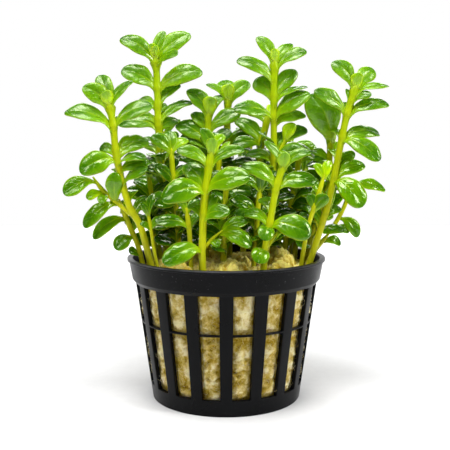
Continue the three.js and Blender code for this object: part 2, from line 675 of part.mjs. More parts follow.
// A leaf is a flat three-sided spindle, a sphere with few corners drawn out along the leaf: a point in
// the stem, two rows of corners and a point at the tip. Each row has two edges and a keel on the
// underside.
function leafSolid(line, blade) {
  const curve = curveThrough(line);
  const highest = 1 - NODE_DEPTH / curve.getLength();
  const start = curve.getPoint(Math.min(shareAt(curve, blade.node), highest));
  const way = blade.way * RADIANS;
  const rise = blade.rise * RADIANS;
  const face = blade.face * RADIANS;
  const along = new THREE.Vector3(
    Math.cos(rise) * Math.cos(way), Math.cos(rise) * Math.sin(way), Math.sin(rise));
  const upper = new THREE.Vector3(0, -Math.sin(face), Math.cos(face));
  upper.addScaledVector(along, -upper.dot(along)).normalize();
  const across = upper.clone().cross(along);
  const last = LEAF_ROWS.length - 1;

  return solidOf(reshaped(new THREE.SphereGeometry(1, 3, last), (x, y, z) => {
    const { share, half, keel } = LEAF_ROWS[Math.round((y + 1) * last / 2)];
    const isKeel = x < -0.01;
    const side = isKeel ? 0 : Math.sign(z);
    const arch = LEAF_ARCH * 4 * share * (1 - share) * blade.long;
    return start.clone()
      .addScaledVector(along, share * blade.long)
      .addScaledVector(across, side * half * blade.broad * blade.long)
      .addScaledVector(upper, arch + (isKeel ? -keel : LEAF_EDGE_LIFT * half));
  }));
}

function boxesMeet(a, b) {
  const p = a.boundingBox();
  const q = b.boundingBox();
  return [0, 1, 2].every((k) => p.min[k] < q.max[k] && q.min[k] < p.max[k]);
}

const crosses = (a, b) => boxesMeet(a, b) && !a.intersect(b).isEmpty();

// Every stem and twig stands first. Then each shoot takes its leaves in turn, and a leaf that would run
// into another shoot gives way and is left off.
function makeShoots() {
  const shoots = SHOOTS.map(({ name, stems }) => ({ name, stems, solids: stems.map(stemSolid) }));
  for (const shoot of shoots) {
    const others = shoots.filter((other) => other !== shoot);
    for (const { line, leaves } of shoot.stems) {
      for (const blade of leaves.filter(({ long }) => long >= SHORTEST_LEAF)) {
        const solid = leafSolid(line, blade);
        if (!others.some((other) => other.solids.some((neighbour) => crosses(solid, neighbour)))) {
          shoot.solids.push(solid);
        }
      }
    }
  }
  return shoots;
}

function makeWool() {
  const lumpy = WOOL_LUMPS.reduce((wool, lump) => wool.add(lumpSolid(lump)), woolPlug());
  return SHOOTS.reduce((wool, { stems }) => wool.subtract(socketSolid(stems[0])), lumpy);
}

const plant = new THREE.Group();

function addPiece(name, solid, finish) {
  const mesh = new THREE.Mesh(geometryOf(solid), new THREE.MeshStandardMaterial(finish));
  mesh.name = name;
  plant.add(mesh);
}

addPiece('pot', makePot(), POT_FINISH);
addPiece('rock_wool', makeWool(), WOOL_FINISH);
for (const { name, solids } of makeShoots()) {
  addPiece(name, solids.reduce((joined, solid) => joined.add(solid)), SHOOT_FINISH);
}

export default plant;
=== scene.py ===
import math
from collections import namedtuple

import bmesh
import bpy
import numpy as np
from mathutils import Matrix, Vector, noise


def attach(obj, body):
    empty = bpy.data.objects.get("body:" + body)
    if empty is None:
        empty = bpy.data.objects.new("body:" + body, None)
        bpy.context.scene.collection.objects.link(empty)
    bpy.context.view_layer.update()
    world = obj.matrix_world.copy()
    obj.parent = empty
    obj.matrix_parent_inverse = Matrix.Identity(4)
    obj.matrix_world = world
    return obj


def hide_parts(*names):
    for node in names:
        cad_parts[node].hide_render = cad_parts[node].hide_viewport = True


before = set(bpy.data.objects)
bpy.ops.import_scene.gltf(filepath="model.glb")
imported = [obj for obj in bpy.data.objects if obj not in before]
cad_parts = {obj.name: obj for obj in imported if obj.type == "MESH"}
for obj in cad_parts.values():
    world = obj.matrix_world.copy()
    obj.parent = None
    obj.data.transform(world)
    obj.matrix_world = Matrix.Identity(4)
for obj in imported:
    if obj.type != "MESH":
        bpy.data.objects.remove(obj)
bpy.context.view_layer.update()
scene = bpy.context.scene

# The looks of a potted lemon bacopa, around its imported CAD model. Lengths are in millimetres, and meshes
# are turned into metres when they are made. The pot stands on z = 0 at the origin, its front to -Y.
MM = 0.001

# The camera: its place, its tilt from straight down, its lens, and its reach in metres
CAMERA_PLACE = (-0.34, -207.6, 69.1)
CAMERA_TILT = 84.15
CAMERA_LENS = 59.84
CAMERA_REACH = (0.01, 20)

# The pot, as the solids have it
RIM_RADIUS = 27.5
POT_HEIGHT = 39.2
LIP_HEIGHT = 0.8
LIP_SLOPE = 0.1
BAND_BOTTOM = 33.5
BAND_TOP_RADIUS = 27
BAND_BOTTOM_RADIUS = 26.1
BODY_TOP = 32.4
BODY_TOP_RADIUS = 25.2
FOOT_RADIUS = 20.7
WALL = 1.2
RIM_WALL = 1.5
FLOOR = 1.5
SLAT_COUNT = 17
SLAT_HALF_ANGLE = 4.1
SLOT_BOTTOM = 4.4
HOOP_HEIGHT = 22
HOOP_THICK = 0.5
DRAIN_COUNT = 6
DRAIN_WIDTH = 2
DRAIN_INNER = 8
DRAIN_OUTER = 17
LIP_BOTTOM = POT_HEIGHT - LIP_HEIGHT
PITCH = 360 / SLAT_COUNT

# The rock wool, as the solids have it
GAP = 0.35
WOOL_FOOT = FLOOR + GAP
WOOL_TOP = 37.6
LUMP_DEPTH = 0.8
WOOL_LUMPS = [
    # x, y, reach, height
    (-12.5, -17, 4, 2.6), (1.5, -19, 5, 3.4), (15, -15, 3.5, 2.8), (-14.5, -7.5, 3.2, 2.2),
    (3.5, -5.5, 3.4, 2.4), (15.5, -1, 4, 3.6), (-12, 8, 4, 2.4), (-2.5, 13, 3.4, 2.2),
    (13.5, 9.5, 3.6, 2.6),
]

# The stems' feet, the leaves and the runs of leaf pairs, as the solids have them
FOOT = 33.35
NODE_DEPTH = 0.8
LEAF_ARCH = 0.09
PAIR_SHRINK = 0.35
PAIR_LIFT = 20
PAIR_SWAY = 12
PAIR_SWAY_PACE = 2.4
SECOND_LEAF = 0.92
PAIR_FACE = 30

# A leaf grows at the height node, points the way given in plan, where 0 is right and 90 is back, and
# rises from level. Its upper side faces up at face 0 and to the front at face 90. Broad is its width as
# a share of its length.
Leaf = namedtuple("Leaf", "node way rise long face broad", defaults=(45, 0.5))
Stem = namedtuple("Stem", "thick line leaves")


def stem(thick, line, leaves):
    """A stem or twig: its radius at the foot, its centre line's points and its leaves' values."""
    return Stem(thick, np.array(line, float), [Leaf(*values) for values in leaves])


def pairs(lowest, highest, step, turn, long, rise):
    """Leaves in pairs up a stem, each pair turned a quarter from the one below, shorter at the top."""
    leaves = []
    count = round((highest - lowest) / step)
    for i in range(count + 1):
        share = i / count
        node = lowest + (highest - lowest) * share
        size = long * (1 - PAIR_SHRINK * share)
        way = turn + 90 * i + PAIR_SWAY * math.sin(PAIR_SWAY_PACE * i + turn)
        lift = rise + PAIR_LIFT * share
        leaves.append((node, way, lift, size, PAIR_FACE))
        leaves.append((node, way + 180, lift, size * SECOND_LEAF, PAIR_FACE))
    return leaves


# The shoots, each with its stem and its twigs, as the solids have them
SHOOTS = {
    "left_tall": [stem(1.15, [
        (-19, -10, FOOT), (-22.5, -10, 47.5), (-26, -9.5, 54.5), (-28.9, -9, 66), (-29.8, -9, 75),
        (-31, -8.5, 82),
    ], [
        (81, -115, 45, 3.6, 80, 0.95), (81.5, 130, 58, 8, 85, 0.55), (81, 100, 60, 6, 60, 0.45),
        (79.9, -170, 38, 8.5, 70, 0.6), (79.8, 10, 51, 8.9, 30, 0.44), (74.7, -170, 19.5, 13, 45, 0.45),
        (75, 5, 28, 11.5, 50, 0.52), (66.6, -160, -20, 10.5, 70, 0.6), (65.5, -15, 7, 8.2, 30, 0.55),
        (67.4, 20, 24, 9.5, 60, 0.55), (68.6, 165, 5, 4.6, 60, 0.7), (68.6, 30, 15, 7.9, 60, 0.6),
        (63.5, -5, 12, 8.3, 60, 0.55), (60, -25, 25, 8.5), (52, 30, 40, 6, 60),
    ]), stem(0.75, [(-24.5, -9.8, 51), (-29, -8.5, 54.5), (-33, -8, 58), (-35.5, -8, 61.5)], [
        (60.9, -165, -27, 9.2, 60, 0.57), (58, -160, -30, 5, 60, 0.6), (57.5, -95, -45, 4.5, 60, 0.6),
        (55, -85, 70, 8, 90, 0.55), (55, -172, -40, 11, 60, 0.4),
    ])],
    "left_low": [stem(0.95, [(-22, -5, FOOT), (-24, -4.5, 42), (-26.5, -4, 48), (-29.2, -4.3, 55.3)], [
        (50.6, -160, -31, 10.8, 58, 0.37), (45.8, -140, -35, 6.9, 60, 0.64), (41, -150, 0, 3.2, 60, 0.9),
        (52.5, 90, 40, 3.5, 60), (47, 20, 40, 5, 50),
    ])],
    "back_left_tall": [stem(1.1, [
        (-17, 4, FOOT), (-18, 5, 57), (-19.2, 6, 75), (-19.5, 7, 86), (-20, 7.5, 96),
    ], [
        (96, -85, 40, 3, 80, 0.8), (95.5, -125, 40, 3.5, 80, 0.7), (95, 30, 68, 7.4, 85, 0.42),
        (93.2, -175, 36, 11.8, 60, 0.44), (93.4, 5, 39.5, 12.4, 60, 0.44), (93.2, -35, 12, 8.3, 55, 0.45),
        (86.2, -175, 25, 11, 60, 0.58), (85.7, -5, 24, 13.6, 60, 0.46), (81.6, 20, 40, 8.6, 60, 0.36),
        (80.8, 178, 18, 5.8, 60, 0.55), (80.5, 10, 10, 2.8, 60, 0.7), (76.9, 10, 30, 11.3, 40, 0.4),
        (75.1, -172, 6, 11.3, 50, 0.45), (77.2, 178, 0, 7.5, 60), (75.2, 15, 15, 6, 70),
        (75.5, 165, 25, 4.5, 70, 0.7), (67, 100, 20, 9, 40), (66, -80, 10, 8, 40), (57, 170, 20, 9, 40),
        (50, 75, 25, 8, 40),
    ])],
    "centre_right_tall": [stem(1.15, [
        (10.5, -2, FOOT), (12, -1.5, 51), (13, -1, 66), (13, -0.5, 82), (13.2, 0, 94),
    ], [
        (93.5, -100, 55, 2.8, 80, 0.9), (92, 170, 58, 8.6, 60, 0.46), (92, 30, 44, 8, 60, 0.4),
        (90.6, -5, 29, 9.8, 45, 0.44), (87.6, -175, 29, 11.4, 50, 0.42), (83.3, 160, 40, 7, 80, 0.8),
        (83.4, 15, 46, 9.3, 60, 0.52), (81.5, -15, 25, 10, 30, 0.4), (77.6, -20, 31, 11.7, 50, 0.56),
        (77.8, -165, 10, 11.6), (76.3, 10, 11, 9.3, 60, 0.38), (68, 20, 0, 12.5, 40), (66, 95, 20, 8, 40),
    ]), stem(0.6, [(13, -1, 66.5), (15, -0.5, 69), (16.5, 0, 72.5)], [
        (71.5, 0, 60, 5, 75, 0.7), (71, 25, 25, 8, 55),
    ])],
    "right_tall": [stem(1.2, [
        (21.5, -3.5, FOOT), (25, -3, 44), (27.5, -3, 52.5), (29.5, -2.5, 61), (31.5, -2.5, 72),
        (33, -2.5, 79), (35.5, -2, 87),
    ], [
        (86, -80, 60, 3.4, 80, 0.95), (85.2, 180, 52, 9.3, 60, 0.52), (85.5, 30, 38, 8, 75, 0.6),
        (83.6, -5, 13, 9.8, 35, 0.34), (82.4, -25, 8, 5.5, 55, 0.55), (81.5, 170, 70, 3.6, 60, 0.4),
        (78.3, -175, 34, 11, 60, 0.42), (78.4, -5, 15, 11.4, 45, 0.38), (71.9, 15, 8.5, 11.4, 50, 0.44),
        (72.1, -25, -32, 12.5, 60, 0.44), (61.5, 5, 20, 9, 55), (61.3, -35, -42, 11.8, 70, 0.57),
        (49, 150, 40, 6.5, 60), (51.5, 20, 8, 4.9, 50, 0.6), (54, 40, 62, 4.9, 60, 0.55),
    ])],
    "front_mid": [stem(1.15, [
        (-6, -21.5, FOOT), (-6, -21.5, 46), (-5.5, -21, 56), (-4.5, -20.5, 63.5), (-3.5, -20, 69),
    ], [
        (69, -80, 55, 3.5, 85, 0.8), (68.5, 180, 65, 6, 70), (68.5, 20, 50, 5, 70),
        (68.5, 75, 50, 6, 80, 0.6), (65.3, -175, 24, 8.8, 60, 0.42), (65.3, -5, 23, 9.3, 55, 0.36),
        (59, -160, -10, 11.5, 65, 0.55), (59, -20, 15, 12, 60), (59, 150, 45, 8.5, 65, 0.6),
        (52.2, -25, 8, 7.5, 60, 0.55), (53, 25, 50, 5.5, 70, 0.6), (53, 150, 20, 4.9, 60),
        (44.5, -160, -20, 11, 65),
    ]), stem(0.6, [(-6, -21.3, 43.5), (-3.5, -20.5, 46.5), (-1, -20, 48.5)], [
        (48.2, -20, -20, 9, 60), (48.2, 15, 20, 7.5, 50), (46.5, -60, -35, 3.5, 60, 0.7),
    ])],
    "front_right": [stem(1.1, [
        (9, -21, FOOT), (10, -20.5, 45.5), (11, -20, 50.5), (12.5, -19.5, 59), (14.5, -19, 65.5),
    ], [
        (65.2, -85, 55, 3.5, 85, 0.9), (65, 180, 50, 7.5, 40, 0.35), (65, -10, 28, 7.6, 60, 0.4),
        (65, 80, 60, 4, 80, 0.6), (60, -175, 30, 10, 60, 0.42), (60, -5, 5, 10, 55),
        (58.5, 110, 60, 5.5, 70, 0.6), (50.5, -20, -15, 11, 65, 0.58), (50.5, 165, 20, 7, 50),
        (50, -110, -35, 6, 60, 0.7), (44.5, -120, -40, 6, 85, 0.8),
    ]), stem(0.6, [(9.8, -20.5, 43.5), (11.5, -20, 46), (13, -20, 48)], [
        (47.5, 0, 35, 6, 50),
    ])],
    "right_inner": [stem(0.9, [(21, 4, FOOT), (26, 3, 50), (29.5, 2.5, 61), (29, 3, 66), (29.3, 3, 71.5)], [
        (71.2, -153, 64, 14.2, 75, 0.66), (70, 60, 55, 5, 60, 0.4), (68.5, 40, 25, 5, 50),
        (66.5, -170, 18, 5.5, 60), (57, 60, 30, 7, 50),
    ])],
    "back_mid_left": [stem(0.95, [(-6, 7, FOOT), (-5.5, 7, 60), (-5.2, 7, 74), (-4.8, 7, 80)], [
        (80, -70, 50, 4.4, 80, 0.95), (78.7, 170, 50, 9.2, 55, 0.56), (79.3, 35, 45, 6.5, 50),
        (74, 145, 45, 7.5, 50, 0.6), (74, -5, 30, 10.5, 55), (68.5, 180, 30, 8.5),
        (71, 175, 30, 10.2, 60, 0.6), (71.5, 155, 38, 4.9, 60, 0.6), (68.5, -90, 30, 8, 50),
        (62, 95, 30, 8.5, 40), (56, 5, 25, 8, 40), (56, -175, 25, 8, 40), (49, 90, 25, 7, 40),
    ])],
    "back_mid": [stem(0.95, [(1, 11, FOOT), (0.5, 10.5, 60), (0.3, 10, 76), (0.5, 10, 84)], [
        (84, -80, 55, 4, 80, 0.95), (83, 180, 35, 7.5, 35, 0.4), (83.2, 105, 55, 6.6, 85, 0.85),
        (82.6, 10, 40, 8.2, 65, 0.54), (76, 90, 35, 8, 40), (70, 10, 30, 9), (70, 175, 25, 7, 40),
        (63, 95, 30, 9, 40), (63, -85, 20, 7, 40), (55, 5, 25, 8, 40),
    ])],
    "behind_centre": [stem(1.05, [(8.5, 6, FOOT), (9.1, 8, 60), (10.1, 8, 70), (12.2, 8, 79)], [
        (71, 165, 40, 10, 55), (70.5, -160, -5, 9, 50), (77.5, 165, 20, 6.5, 60, 0.6),
        (78.5, 60, 50, 4, 60, 0.6), (64, -155, 10, 7.5), (64, 40, 25, 9, 40), (57, 85, 25, 9, 40),
    ])],
    "inner_left": [stem(0.9, [(-12.5, -3, FOOT), (-13.5, -3, 50), (-14.5, -3, 61), (-15, -3, 69)], [
        (69, -170, 35, 6.5, 60, 0.65), (69, 105, 60, 6, 80, 0.65), (69, 15, 35, 5.5, 50, 0.6),
        (61.5, -165, 15, 8), (61.5, 0, 20, 7), (54.5, 80, 25, 7, 40), (54.5, -100, 20, 7, 50),
        (48, -170, 20, 7), (48, 5, 20, 7),
    ])],
    "inner_right": [stem(0.85, [(7, -9, FOOT), (8, -9, 46), (8.5, -9, 54), (9, -9, 59)], [
        (59, -105, 60, 4, 70, 0.6), (58.5, -170, 25, 6.5, 50), (58.5, 0, 40, 5, 50), (51, -170, 35, 9, 50),
        (51, 25, 35, 6, 50), (45, 90, 25, 6, 40), (45, -80, 10, 6, 50),
    ])],
    "front_left_low": [stem(0.85, [
        (-9, -13, FOOT), (-9.5, -12.5, 44.5), (-10, -12, 50), (-10.5, -12, 53.5),
    ], [
        (53.5, 145, 45, 5.5, 60), (53.5, 35, 30, 4.5, 60), (49, -165, 5, 9, 50, 0.45), (49, 0, 40, 4.5, 60),
    ])],
    "left_pale": [stem(0.6, [(-17, -14, FOOT), (-18.8, -13.5, 42), (-19.7, -13, 48), (-20.5, -13, 52.5)], [
        (52.5, 40, 70, 5.5, 60, 0.4), (52, -160, 55, 3.5, 60), (48.5, -155, 20, 3, 60, 0.6),
        (48.5, -20, 40, 3.5, 60, 0.6),
    ])],
    "right_short": [stem(0.9, [(19, 7, FOOT), (20.5, 7, 45), (20.7, 7, 52), (21.2, 7, 57)], [
        (56.5, -135, 70, 5, 85, 0.7), (56.5, 35, 40, 5, 60, 0.6), (50.5, -10, 30, 5, 50),
        (45, 90, 30, 6, 40),
    ])],
    "right_pale": [stem(0.75, [
        (19.5, -8, FOOT), (21.5, -8, 46), (23.2, -8, 52.5), (25.2, -7.5, 58.5), (26.2, -7, 62),
    ], [
        (53.5, 180, 65, 3.5, 80, 0.8), (53, -15, 40, 5, 75, 0.7), (57.5, 150, 50, 4.5, 60, 0.6),
        (61.8, 35, 60, 4.5, 70, 0.6), (61.8, 180, 50, 4, 70, 0.6),
    ])],
    "right_low": [stem(0.85, [(21.5, 1, FOOT), (24.3, 1.3, 39.5), (29.5, 3.2, 45.6)], [
        (43.8, 5, -20, 5.2, 60, 0.55),
    ]), stem(0.75, [(29.2, 3.1, 45.1), (33.2, 5, 51.6), (36.4, 6.5, 59.3)], [
        (59, 10, -6, 10.2, 50, 0.42), (50, -15, -46, 8.2, 60, 0.46), (47.5, -10, -30, 4.8, 60),
    ])],
    "rear_left": [stem(0.95, [(-14, 13, FOOT), (-16, 15, 52), (-18, 16, 68), (-18.5, 16, 74)],
        pairs(46, 73, 7, 15, 10, 25))],
    "rear_mid_left": [stem(0.95, [(-5, 18, FOOT), (-6, 20, 54), (-7, 21, 68), (-7, 21, 75)],
        pairs(47, 74, 7, 60, 9.5, 25))],
    "rear_mid": [stem(0.95, [(5, 19, FOOT), (6, 22, 52), (7, 23, 64), (7, 23, 72)],
        pairs(45, 71, 6.5, 20, 9.5, 25))],
    "rear_right": [stem(0.95, [(13, 15, FOOT), (16, 17, 52), (18, 18, 66), (19, 18, 72)],
        pairs(46, 71, 6.5, 70, 9.5, 25) + [(68.2, 0, 5, 9, 55, 0.55), (67, -10, -5, 9.5, 55, 0.6)])],
    "inner_mid": [stem(0.9, [(-1, 0, FOOT), (-1.5, 0, 50), (-2, 0, 60), (-2, 0, 68)],
        pairs(50, 67, 8.5, 0, 8, 30))],
    "inner_front": [stem(0.85, [(-0.5, -10, FOOT), (-0.5, -10, 48), (0, -10.5, 60)],
        pairs(47, 59, 6, 30, 8, 30))],
    "inner_far_left": [stem(0.85, [(-20, 0, FOOT), (-20.5, 0.5, 50), (-21.5, 1, 62)],
        pairs(50, 61, 5.5, 100, 8, 30))],
    "rear_far_right": [stem(0.85, [(18, 11.5, FOOT), (21, 13, 48), (23.5, 14, 64)],
        pairs(46, 63, 8.5, 100, 8.5, 25))],
    "rear_far_left": [stem(0.85, [(-18.5, 10, FOOT), (-21, 11, 47), (-23.5, 12, 61)],
        pairs(45, 60, 7.5, 10, 8.5, 25))],
    "inner_back_right": [stem(0.9, [(16, 5, FOOT), (18, 6, 50), (20, 7, 60), (21, 8, 68)],
        pairs(50, 67, 8.5, 40, 8, 30) + [(66, 0, 5, 8, 55, 0.6), (67.5, -10, 30, 4.9, 60, 0.6)])],
}


# Helpers

def linked(name, data):
    thing = bpy.data.objects.new(name, data)
    scene.collection.objects.link(thing)
    return thing


def dressed(mesh, material, fields, smooth=True):
    """A mesh as an object, with its material and one number per point for each field."""
    for key, values in fields.items():
        attribute = mesh.attributes.new(key, "FLOAT", "POINT")
        attribute.data.foreach_set("value", np.asarray(values, np.float32))
    mesh.polygons.foreach_set("use_smooth", np.full(len(mesh.polygons), smooth))
    mesh.materials.append(material)
    mesh.update()
    return linked(mesh.name, mesh)


def mesh_object(name, points, faces, material, fields, smooth=True):
    """A piece from points in millimetres and faces of any corner counts."""
    mesh = bpy.data.meshes.new(name)
    mesh.from_pydata((np.asarray(points, float) * MM).tolist(), [], faces)
    return dressed(mesh, material, fields, smooth)


def mesh_from(work, name):
    """A mesh from a bmesh in millimetres, which is used up."""
    for vertex in work.verts:
        vertex.co *= MM
    mesh = bpy.data.meshes.new(name)
    work.to_mesh(mesh)
    work.free()
    return mesh


class Parts:
    """Closed meshes gathered into one piece."""

    def __init__(self, *fields):
        self.points = []
        self.faces = []
        self.fields = {key: [] for key in fields}
        self.count = 0

    def add(self, points, faces, **fields):
        self.points.append(np.asarray(points, float))
        self.faces.extend([tuple(corner + self.count for corner in face) for face in faces])
        for key, values in fields.items():
            self.fields[key].append(np.broadcast_to(np.asarray(values, float), len(points)))
        self.count += len(points)

    def piece(self, name, material):
        fields = {key: np.concatenate(values) for key, values in self.fields.items()}
        return mesh_object(name, np.concatenate(self.points), self.faces, material, fields)


def tube_faces(rows, ring):
    """Faces round a tube of rows of ring points."""
    faces = []
    for low in range(0, (rows - 1) * ring, ring):
        for i in range(ring):
            j = (i + 1) % ring
            faces.append((low + i, low + j, low + ring + j, low + ring + i))
    return faces


def cap_faces(first, ring, tip):
    """Faces from a ring of points, from first on, to a tip."""
    return [(first + i, first + (i + 1) % ring, tip) for i in range(ring)]


def closed_faces(rows, ring):
    """Faces of a tube that is flat at its foot and runs out to a tip, the last point."""
    end = rows * ring
    return tube_faces(rows, ring) + [tuple(range(ring))[::-1]] + cap_faces(end - ring, ring, end)


def clamped(value):
    return np.clip(value, 0, 1)


def smoothstep(low, high, value):
    share = clamped((value - low) / (high - low))
    return share * share * (3 - 2 * share)


def bell(offset, width):
    return np.exp(-(offset / width) ** 2)


def unit(vector):
    return vector / np.linalg.norm(vector, axis=-1, keepdims=True)


def fractal(point, size, octaves=4):
    return noise.fractal(Vector(point) / size, 0.9, 2.1, octaves)


def curve_at(line, share):
    """Points at shares of the way along a centre line, a Catmull-Rom curve through its points."""
    padded = np.vstack([2 * line[0] - line[1], line, 2 * line[-1] - line[-2]])
    spans = len(line) - 1
    place = clamped(np.atleast_1d(share)) * spans
    span = np.minimum(place.astype(int), spans - 1)
    t = (place - span)[:, None]
    before, start, end, after = (padded[span + k] for k in range(4))
    leave = 0.5 * (end - before)
    arrive = 0.5 * (after - start)
    return (start + leave * t + (3 * (end - start) - 2 * leave - arrive) * t ** 2
            + (2 * (start - end) + leave + arrive) * t ** 3)


def share_at(line, height):
    low = 0
    high = 1
    while high - low > 1e-6:
        middle = (low + high) / 2
        if curve_at(line, middle)[0, 2] < height:
            low = middle
        else:
            high = middle
    return low


def line_length(line):
    points = curve_at(line, np.linspace(0, 1, 60))
    return float(np.linalg.norm(np.diff(points, axis=0), axis=1).sum())


# Materials

SOCKETS = {
    "colour": "Base Color", "roughness": "Roughness", "normal": "Normal", "specular": "Specular IOR Level",
    "tint": "Specular Tint", "sheen": "Sheen Weight", "soft": "Subsurface Weight",
    "soft_radius": "Subsurface Radius", "soft_scale": "Subsurface Scale",
}


class Nodes:
    """A new material's or world's nodes. Places are on the object, in metres."""

    def __init__(self, name, kind=bpy.data.materials):
        self.owner = kind.new(name)
        self.owner.use_nodes = True
        self.tree = self.owner.node_tree

    def give(self, socket, value):
        if isinstance(value, bpy.types.NodeSocket):
            self.tree.links.new(value, socket)
        elif socket.type == "RGBA":
            socket.default_value = (*value, 1)
        else:
            socket.default_value = value

    def put(self, kind, inputs, **settings):
        node = self.tree.nodes.new("ShaderNode" + kind)
        for key, value in settings.items():
            setattr(node, key, value)
        for key, value in inputs.items():
            self.give(node.inputs[key], value)
        return node

    def field(self, name):
        return self.put("Attribute", {}, attribute_name=name).outputs["Fac"]

    def place(self, scale=(1, 1, 1)):
        where = self.put("TexCoord", {}).outputs["Object"]
        return self.put("VectorMath", {0: where, 1: scale}, operation="MULTIPLY").outputs[0]

    def height(self):
        return self.put("SeparateXYZ", {"Vector": self.place()}).outputs["Z"]

    def out(self):
        """How far a point is from the pot's axis."""
        flat = {0: self.place((1, 1, 0))}
        return self.put("VectorMath", flat, operation="LENGTH").outputs["Value"]

    def math(self, operation, first, second=0, third=0):
        inputs = {0: first, 1: second, 2: third}
        return self.put("Math", inputs, operation=operation).outputs[0]

    def times(self, first, second):
        return self.math("MULTIPLY", first, second)

    def total(self, first, *terms):
        """First and the terms added up. A term (value, scale, shift) counts as value * scale + shift."""
        for term in terms:
            if isinstance(term, tuple):
                term = self.math("MULTIPLY_ADD", *term)
            first = self.math("ADD", first, term)
        return first

    def noise(self, where, scale, detail=3, roughness=0.55, distortion=0):
        inputs = {"Vector": where, "Scale": scale, "Detail": detail, "Roughness": roughness,
                  "Distortion": distortion}
        return self.put("TexNoise", inputs).outputs["Fac"]

    def between(self, value, low, high, to_low=0, to_high=1):
        """Value eased from low..high to to_low..to_high."""
        inputs = {"Value": value, "From Min": low, "From Max": high, "To Min": to_low, "To Max": to_high}
        node = self.put("MapRange", inputs, interpolation_type="SMOOTHSTEP")
        return node.outputs["Result"]

    def ramp(self, value, *stops):
        node = self.put("ValToRGB", {"Fac": value})
        ramp = node.color_ramp
        while len(ramp.elements) < len(stops):
            ramp.elements.new(0.5)
        for element, (place, colour) in zip(ramp.elements, stops):
            element.position = place
            element.color = (*colour, 1)
        return node.outputs["Color"]

    def mix(self, share, first, second, blend="MIX"):
        inputs = {0: share, 6: first, 7: second}
        return self.put("Mix", inputs, data_type="RGBA", blend_type=blend).outputs[2]

    def bump(self, height, strength, distance, **more):
        inputs = {"Height": height, "Strength": strength, "Distance": distance, **more}
        return self.put("Bump", inputs).outputs["Normal"]

    def finish(self, **values):
        shader = self.tree.nodes["Principled BSDF"]
        for key, value in values.items():
            self.give(shader.inputs[SOCKETS[key]], value)
        return self.owner


# The colours of parts of a leaf
VEIN = (0.26, 0.44, 0.003)
RIB = (0.33, 0.5, 0.002)
MARGIN = (0.42, 0.6, 0.01)
LEAF_FOOT = (0.3, 0.45, 0.001)
LEAF_BACK = (0.18, 0.33, 0.002)
# How dense a leaf's fine veins and side veins are
FINE_VEINS = 1100
SIDE_VEINS = 36
# Between these heights the leaves turn from wet to dry, with a softer gloss.
DRY_LEAVES = (58, 80)


def leaf_material():
    n = Nodes("leaf")
    across = n.math("ABSOLUTE", n.field("across"))
    along = n.field("along")
    tone = n.field("tone")
    under = n.field("under")
    # Each leaf has a pattern of its own.
    own = {0: n.place(), 1: n.field("seed")}
    where = n.put("VectorMath", own, operation="ADD").outputs[0]
    patches = n.noise(where, 240, 2)
    pucker = n.noise(where, 380, 1, 0.5, 0.4)
    grain = n.noise(where, 1700, 2)

    mottled = n.total(tone, (patches, 0.44, -0.22), (grain, 0.14, -0.07), (along, -0.4, 0.17),
                      n.between(across, 0.3, 1, -0.03, 0.12))
    colour = n.ramp(mottled, (0, (0.006, 0.042, 0.0002)), (0.3, (0.036, 0.14, 0.0002)),
                    (0.6, (0.135, 0.31, 0.0002)), (0.85, (0.26, 0.48, 0.0002)),
                    (1, (0.5, 0.74, 0.0004)))

    # The net of fine veins, and side veins that run out from the midrib
    cells = n.put("TexVoronoi", {"Vector": where, "Scale": FINE_VEINS},
                  feature="DISTANCE_TO_EDGE").outputs["Distance"]
    net = n.between(cells, 0.1, 0)
    slant = n.total(along, (across, -0.3), (patches, 0.1))
    wave = n.math("SINE", n.times(slant, SIDE_VEINS))
    veins = n.times(n.between(wave, 0.72, 1), n.between(across, 0.98, 0.5))
    veins = n.times(veins, n.between(tone, 0.7, 0.9, 1, 0.1))
    colour = n.mix(n.times(veins, 0.1), colour, VEIN)
    colour = n.mix(n.times(net, 0.08), colour, VEIN)

    # The midrib is widest and palest at the foot.
    width = n.between(along, 0, 1, 0.15, 0.03)
    rib = n.between(n.math("DIVIDE", across, width), 1, 0.35)
    colour = n.mix(n.times(rib, n.between(along, 0.92, 0.1, 0.05, 0.6)), colour, RIB)
    margin = n.between(across, 0.88, 1)
    colour = n.mix(n.times(margin, 0.7), colour, MARGIN)
    colour = n.mix(n.times(n.between(along, 0.34, 0.06), 0.75), colour, LEAF_FOOT)
    back = n.mix(n.between(tone, 0.5, 0.95, 0.45, 0), colour, LEAF_BACK)
    colour = n.mix(under, colour, back)

    low, high = DRY_LEAVES
    rough = n.total(n.between(patches, 0.3, 0.75, 0.1, 0.19), (under, 0.18), (margin, 0.3),
                    n.between(n.height(), low * MM, high * MM, 0, 0.13))
    relief = n.total(n.times(veins, -0.24), (net, -0.05), (grain, 0.025), (pucker, 2.4))
    return n.finish(colour=colour, roughness=rough, normal=n.bump(relief, 0.7, 0.00012),
                    specular=0.62, tint=(0.92, 1, 0.66), soft=0.3, soft_radius=(0.7, 1, 0.1),
                    soft_scale=0.0009)


def stem_material():
    n = Nodes("stem")
    streaks = n.noise(n.place((1, 1, 0.08)), 1400, 3)
    patches = n.noise(n.place(), 220, 2)
    level = n.total(n.field("share"), (streaks, 0.5, -0.25), (patches, 0.3, -0.15))
    colour = n.ramp(level, (0, (0.39, 0.4, 0.008)), (0.25, (0.54, 0.56, 0.006)),
                    (0.55, (0.44, 0.51, 0.001)), (1, (0.34, 0.5, 0.001)))
    colour = n.mix(n.times(n.field("ring"), 0.35), colour, (0.26, 0.34, 0.004))
    return n.finish(colour=colour, roughness=n.between(streaks, 0.3, 0.7, 0.3, 0.46),
                    normal=n.bump(streaks, 0.35, 0.00015), specular=0.36, tint=(0.9, 1, 0.4),
                    soft=0.3, soft_radius=(0.8, 1, 0.1), soft_scale=0.0012)


# Between the stems, down to this depth, the wool is tinted more golden than in the slots: painted light,
# the tint of light bounced off the leaves above it.
GOLDEN = 2


